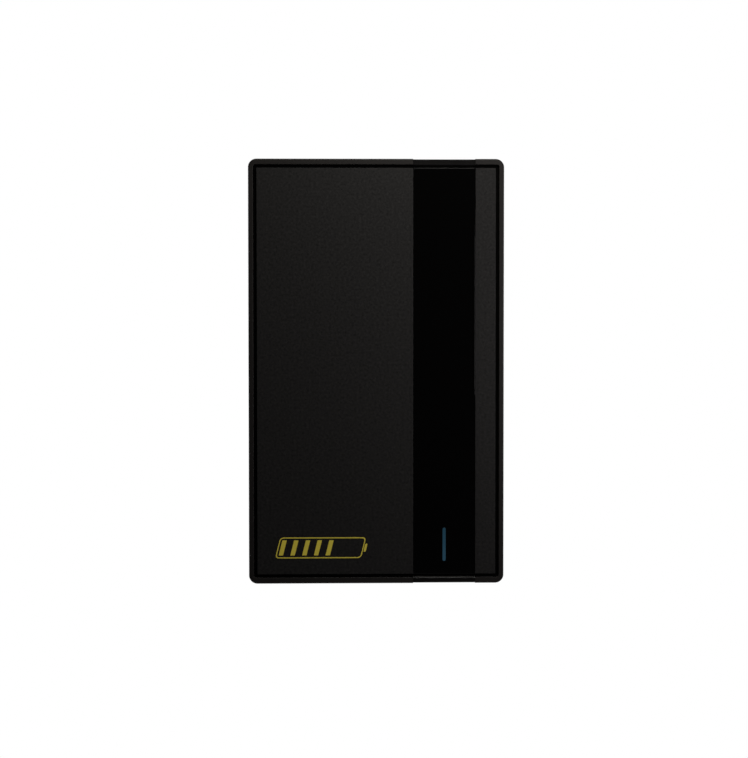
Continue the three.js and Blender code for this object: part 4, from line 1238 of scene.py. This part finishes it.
def port_contacts():
    """Eight gilt springs in each data socket."""
    socket_pitch = 15 * MM
    wire_pitch = 1.02 * MM
    half_wide = 0.22 * MM
    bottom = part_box("port_block")[0].z
    wire_box = (BAY_Y + 3.4 * MM, BAY_Y + 4.6 * MM, bottom + 3.0 * MM, bottom + 12.5 * MM)
    middle = middle_x("port_block")
    for socket in range(4):
        centre = middle + (socket - 1.5) * socket_pitch
        bm = bmesh.new()
        for wire in range(8):
            x = centre + (wire - 3.5) * wire_pitch
            add_box(bm, x - half_wide, x + half_wide, *wire_box)
        piece = add_mesh("port_contacts_%d" % (socket + 1), bm)
        piece.data.materials.append(MATERIALS["brass"])
        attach(piece, BODY_OF["port_block"])


# --- fasteners that the CAD leaves out ---

def screw_mesh(radius, height, socket):
    """Pan head with a hexagon socket, standing along +Z from its seat."""
    sides = 36
    wall = 0.45
    crown = 0.28
    rows = [(radius, 0.0), (radius, height * wall)]
    for step in range(1, 5):
        turn = math.pi / 2 * step / 5
        r = radius * (1 - crown + crown * math.cos(turn))
        rows.append((r, height * (wall + (1 - wall) * math.sin(turn))))
    rows.append((socket * 1.25, height))
    loops = [circle("z", 0, 0, r, level, sides) for r, level in rows]
    for level in (height, height * 0.3):
        loop = []
        for side in range(sides):
            turn = 2 * math.pi * side / sides
            sector = (turn + math.pi / 6) % (math.pi / 3) - math.pi / 6
            r = socket * math.cos(math.pi / 6) / math.cos(sector)
            loop.append(Vector((r * math.cos(turn), r * math.sin(turn), level)))
        loops.append(loop)
    mesh = mesh_from("screw", skin(loops, edge_wear_and_sheen=(1, 2, 3, 4)))
    smooth(mesh)
    return mesh


def place_screw(name, mesh, slot, place, outward):
    piece = bpy.data.objects.new(name, mesh.copy())
    piece.data.materials.append(MATERIALS[slot])
    bpy.context.scene.collection.objects.link(piece)
    piece.location = place
    piece.rotation_euler = Vector(outward).to_track_quat("Z", "Y").to_euler()
    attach(piece, BODY_OF["rear_casing"])


def fasteners():
    """Screws in the casing's sides, the rail, the receptacles' flanges and the bay's ceiling."""
    black = screw_mesh(3.4 * MM, 1.9 * MM, 1.6 * MM)
    bright = screw_mesh(4.2 * MM, 2.4 * MM, 2.0 * MM)
    small = screw_mesh(2.0 * MM, 1.3 * MM, 0.95 * MM)
    behind_skirt = COVER_HIGH.y + 7 * MM
    heights = (BOTTOM + 0.075, CENTRE_Z - 0.14, CENTRE_Z + 0.2, TOP - 0.075)
    places = [(side, z) for side in (-1, 1) for z in heights]
    for number, (side, z) in enumerate(places, 1):
        x = CASING_HIGH.x if side > 0 else CASING_LOW.x
        place_screw("casing_screw_%d" % number, black, "device_black", (x, behind_skirt, z), (side, 0, 0))
    rail_face = RAIL_LOW.y + STEEL
    level = RAIL_HIGH.z - 26 * MM
    for number, x in enumerate((-0.14, -0.07, 0.0, 0.07, 0.14), 1):
        place_screw("rail_screw_%d" % number, bright, "zinc_steel", (x, rail_face, level), (0, 1, 0))
    beside = 13.5 * MM
    places = [(node, side) for node in ("positive_terminal", "negative_terminal") for side in (-1, 1)]
    for number, (node, side) in enumerate(places, 1):
        place = (middle_x(node) + side * beside, BAY_Y + side * beside, CEILING)
        place_screw("terminal_screw_%d" % number, small, "zinc_steel", place, (0, 0, -1))
    rows = (BAY_LOW.x + 24 * MM, 0.045, BAY_HIGH.x - 24 * MM)
    places = [(x, y) for x in rows for y in (BAY_LOW.y + 22 * MM, BAY_HIGH.y - 22 * MM)]
    for number, (x, y) in enumerate(places, 1):
        place_screw("bay_screw_%d" % number, black, "device_black", (x, y, CEILING), (0, 0, -1))


# --- assembly ---

# CAD nodes that are only refined, with the rounding of their edges.
REFINED = {
    "connection_bay": 0.5 * MM,
    "dc_breaker": 0.5 * MM,
    "breaker_toggle": 0.5 * MM,
    "port_block": 0.4 * MM,
    "column_link": 0.4 * MM,
    "bms_board": 0.2 * MM,
    "bms_heatsink": 0.3 * MM,
    "clamp_plate": 0.3 * MM,
    **{"cell_%02d" % number: 0.5 * MM for number in range(1, 17)},
    "busbar_carrier_left": 0.4 * MM,
    "busbar_carrier_right": 0.4 * MM,
}


def carried_over():
    """Every CAD node gets its slot's material, whether or not a finer piece stands for it."""
    for name, node in NODES.items():
        node.data.materials.clear()
        node.data.materials.append(MATERIALS[SLOT_OF[name]])


def build():
    make_camera()
    make_lights()
    make_world()
    make_floor()
    carried_over()
    front_cover()
    front_panels()
    band_cap("band_cap_top", 1)
    band_cap("band_cap_bottom", -1)
    printed_mark()
    rear_casing()
    side_grip("side_grip_left", -1)
    side_grip("side_grip_right", 1)
    wall_bracket()
    hanger_rail()
    wall_bolts()
    rear_bumpers()
    power_terminals()
    power_key()
    ground_stud()
    pressure_vent()
    port_contacts()
    for node, bevel in REFINED.items():
        refined(node, bevel)
    fasteners()
    bpy.context.scene.view_settings.view_transform = "Standard"


build()
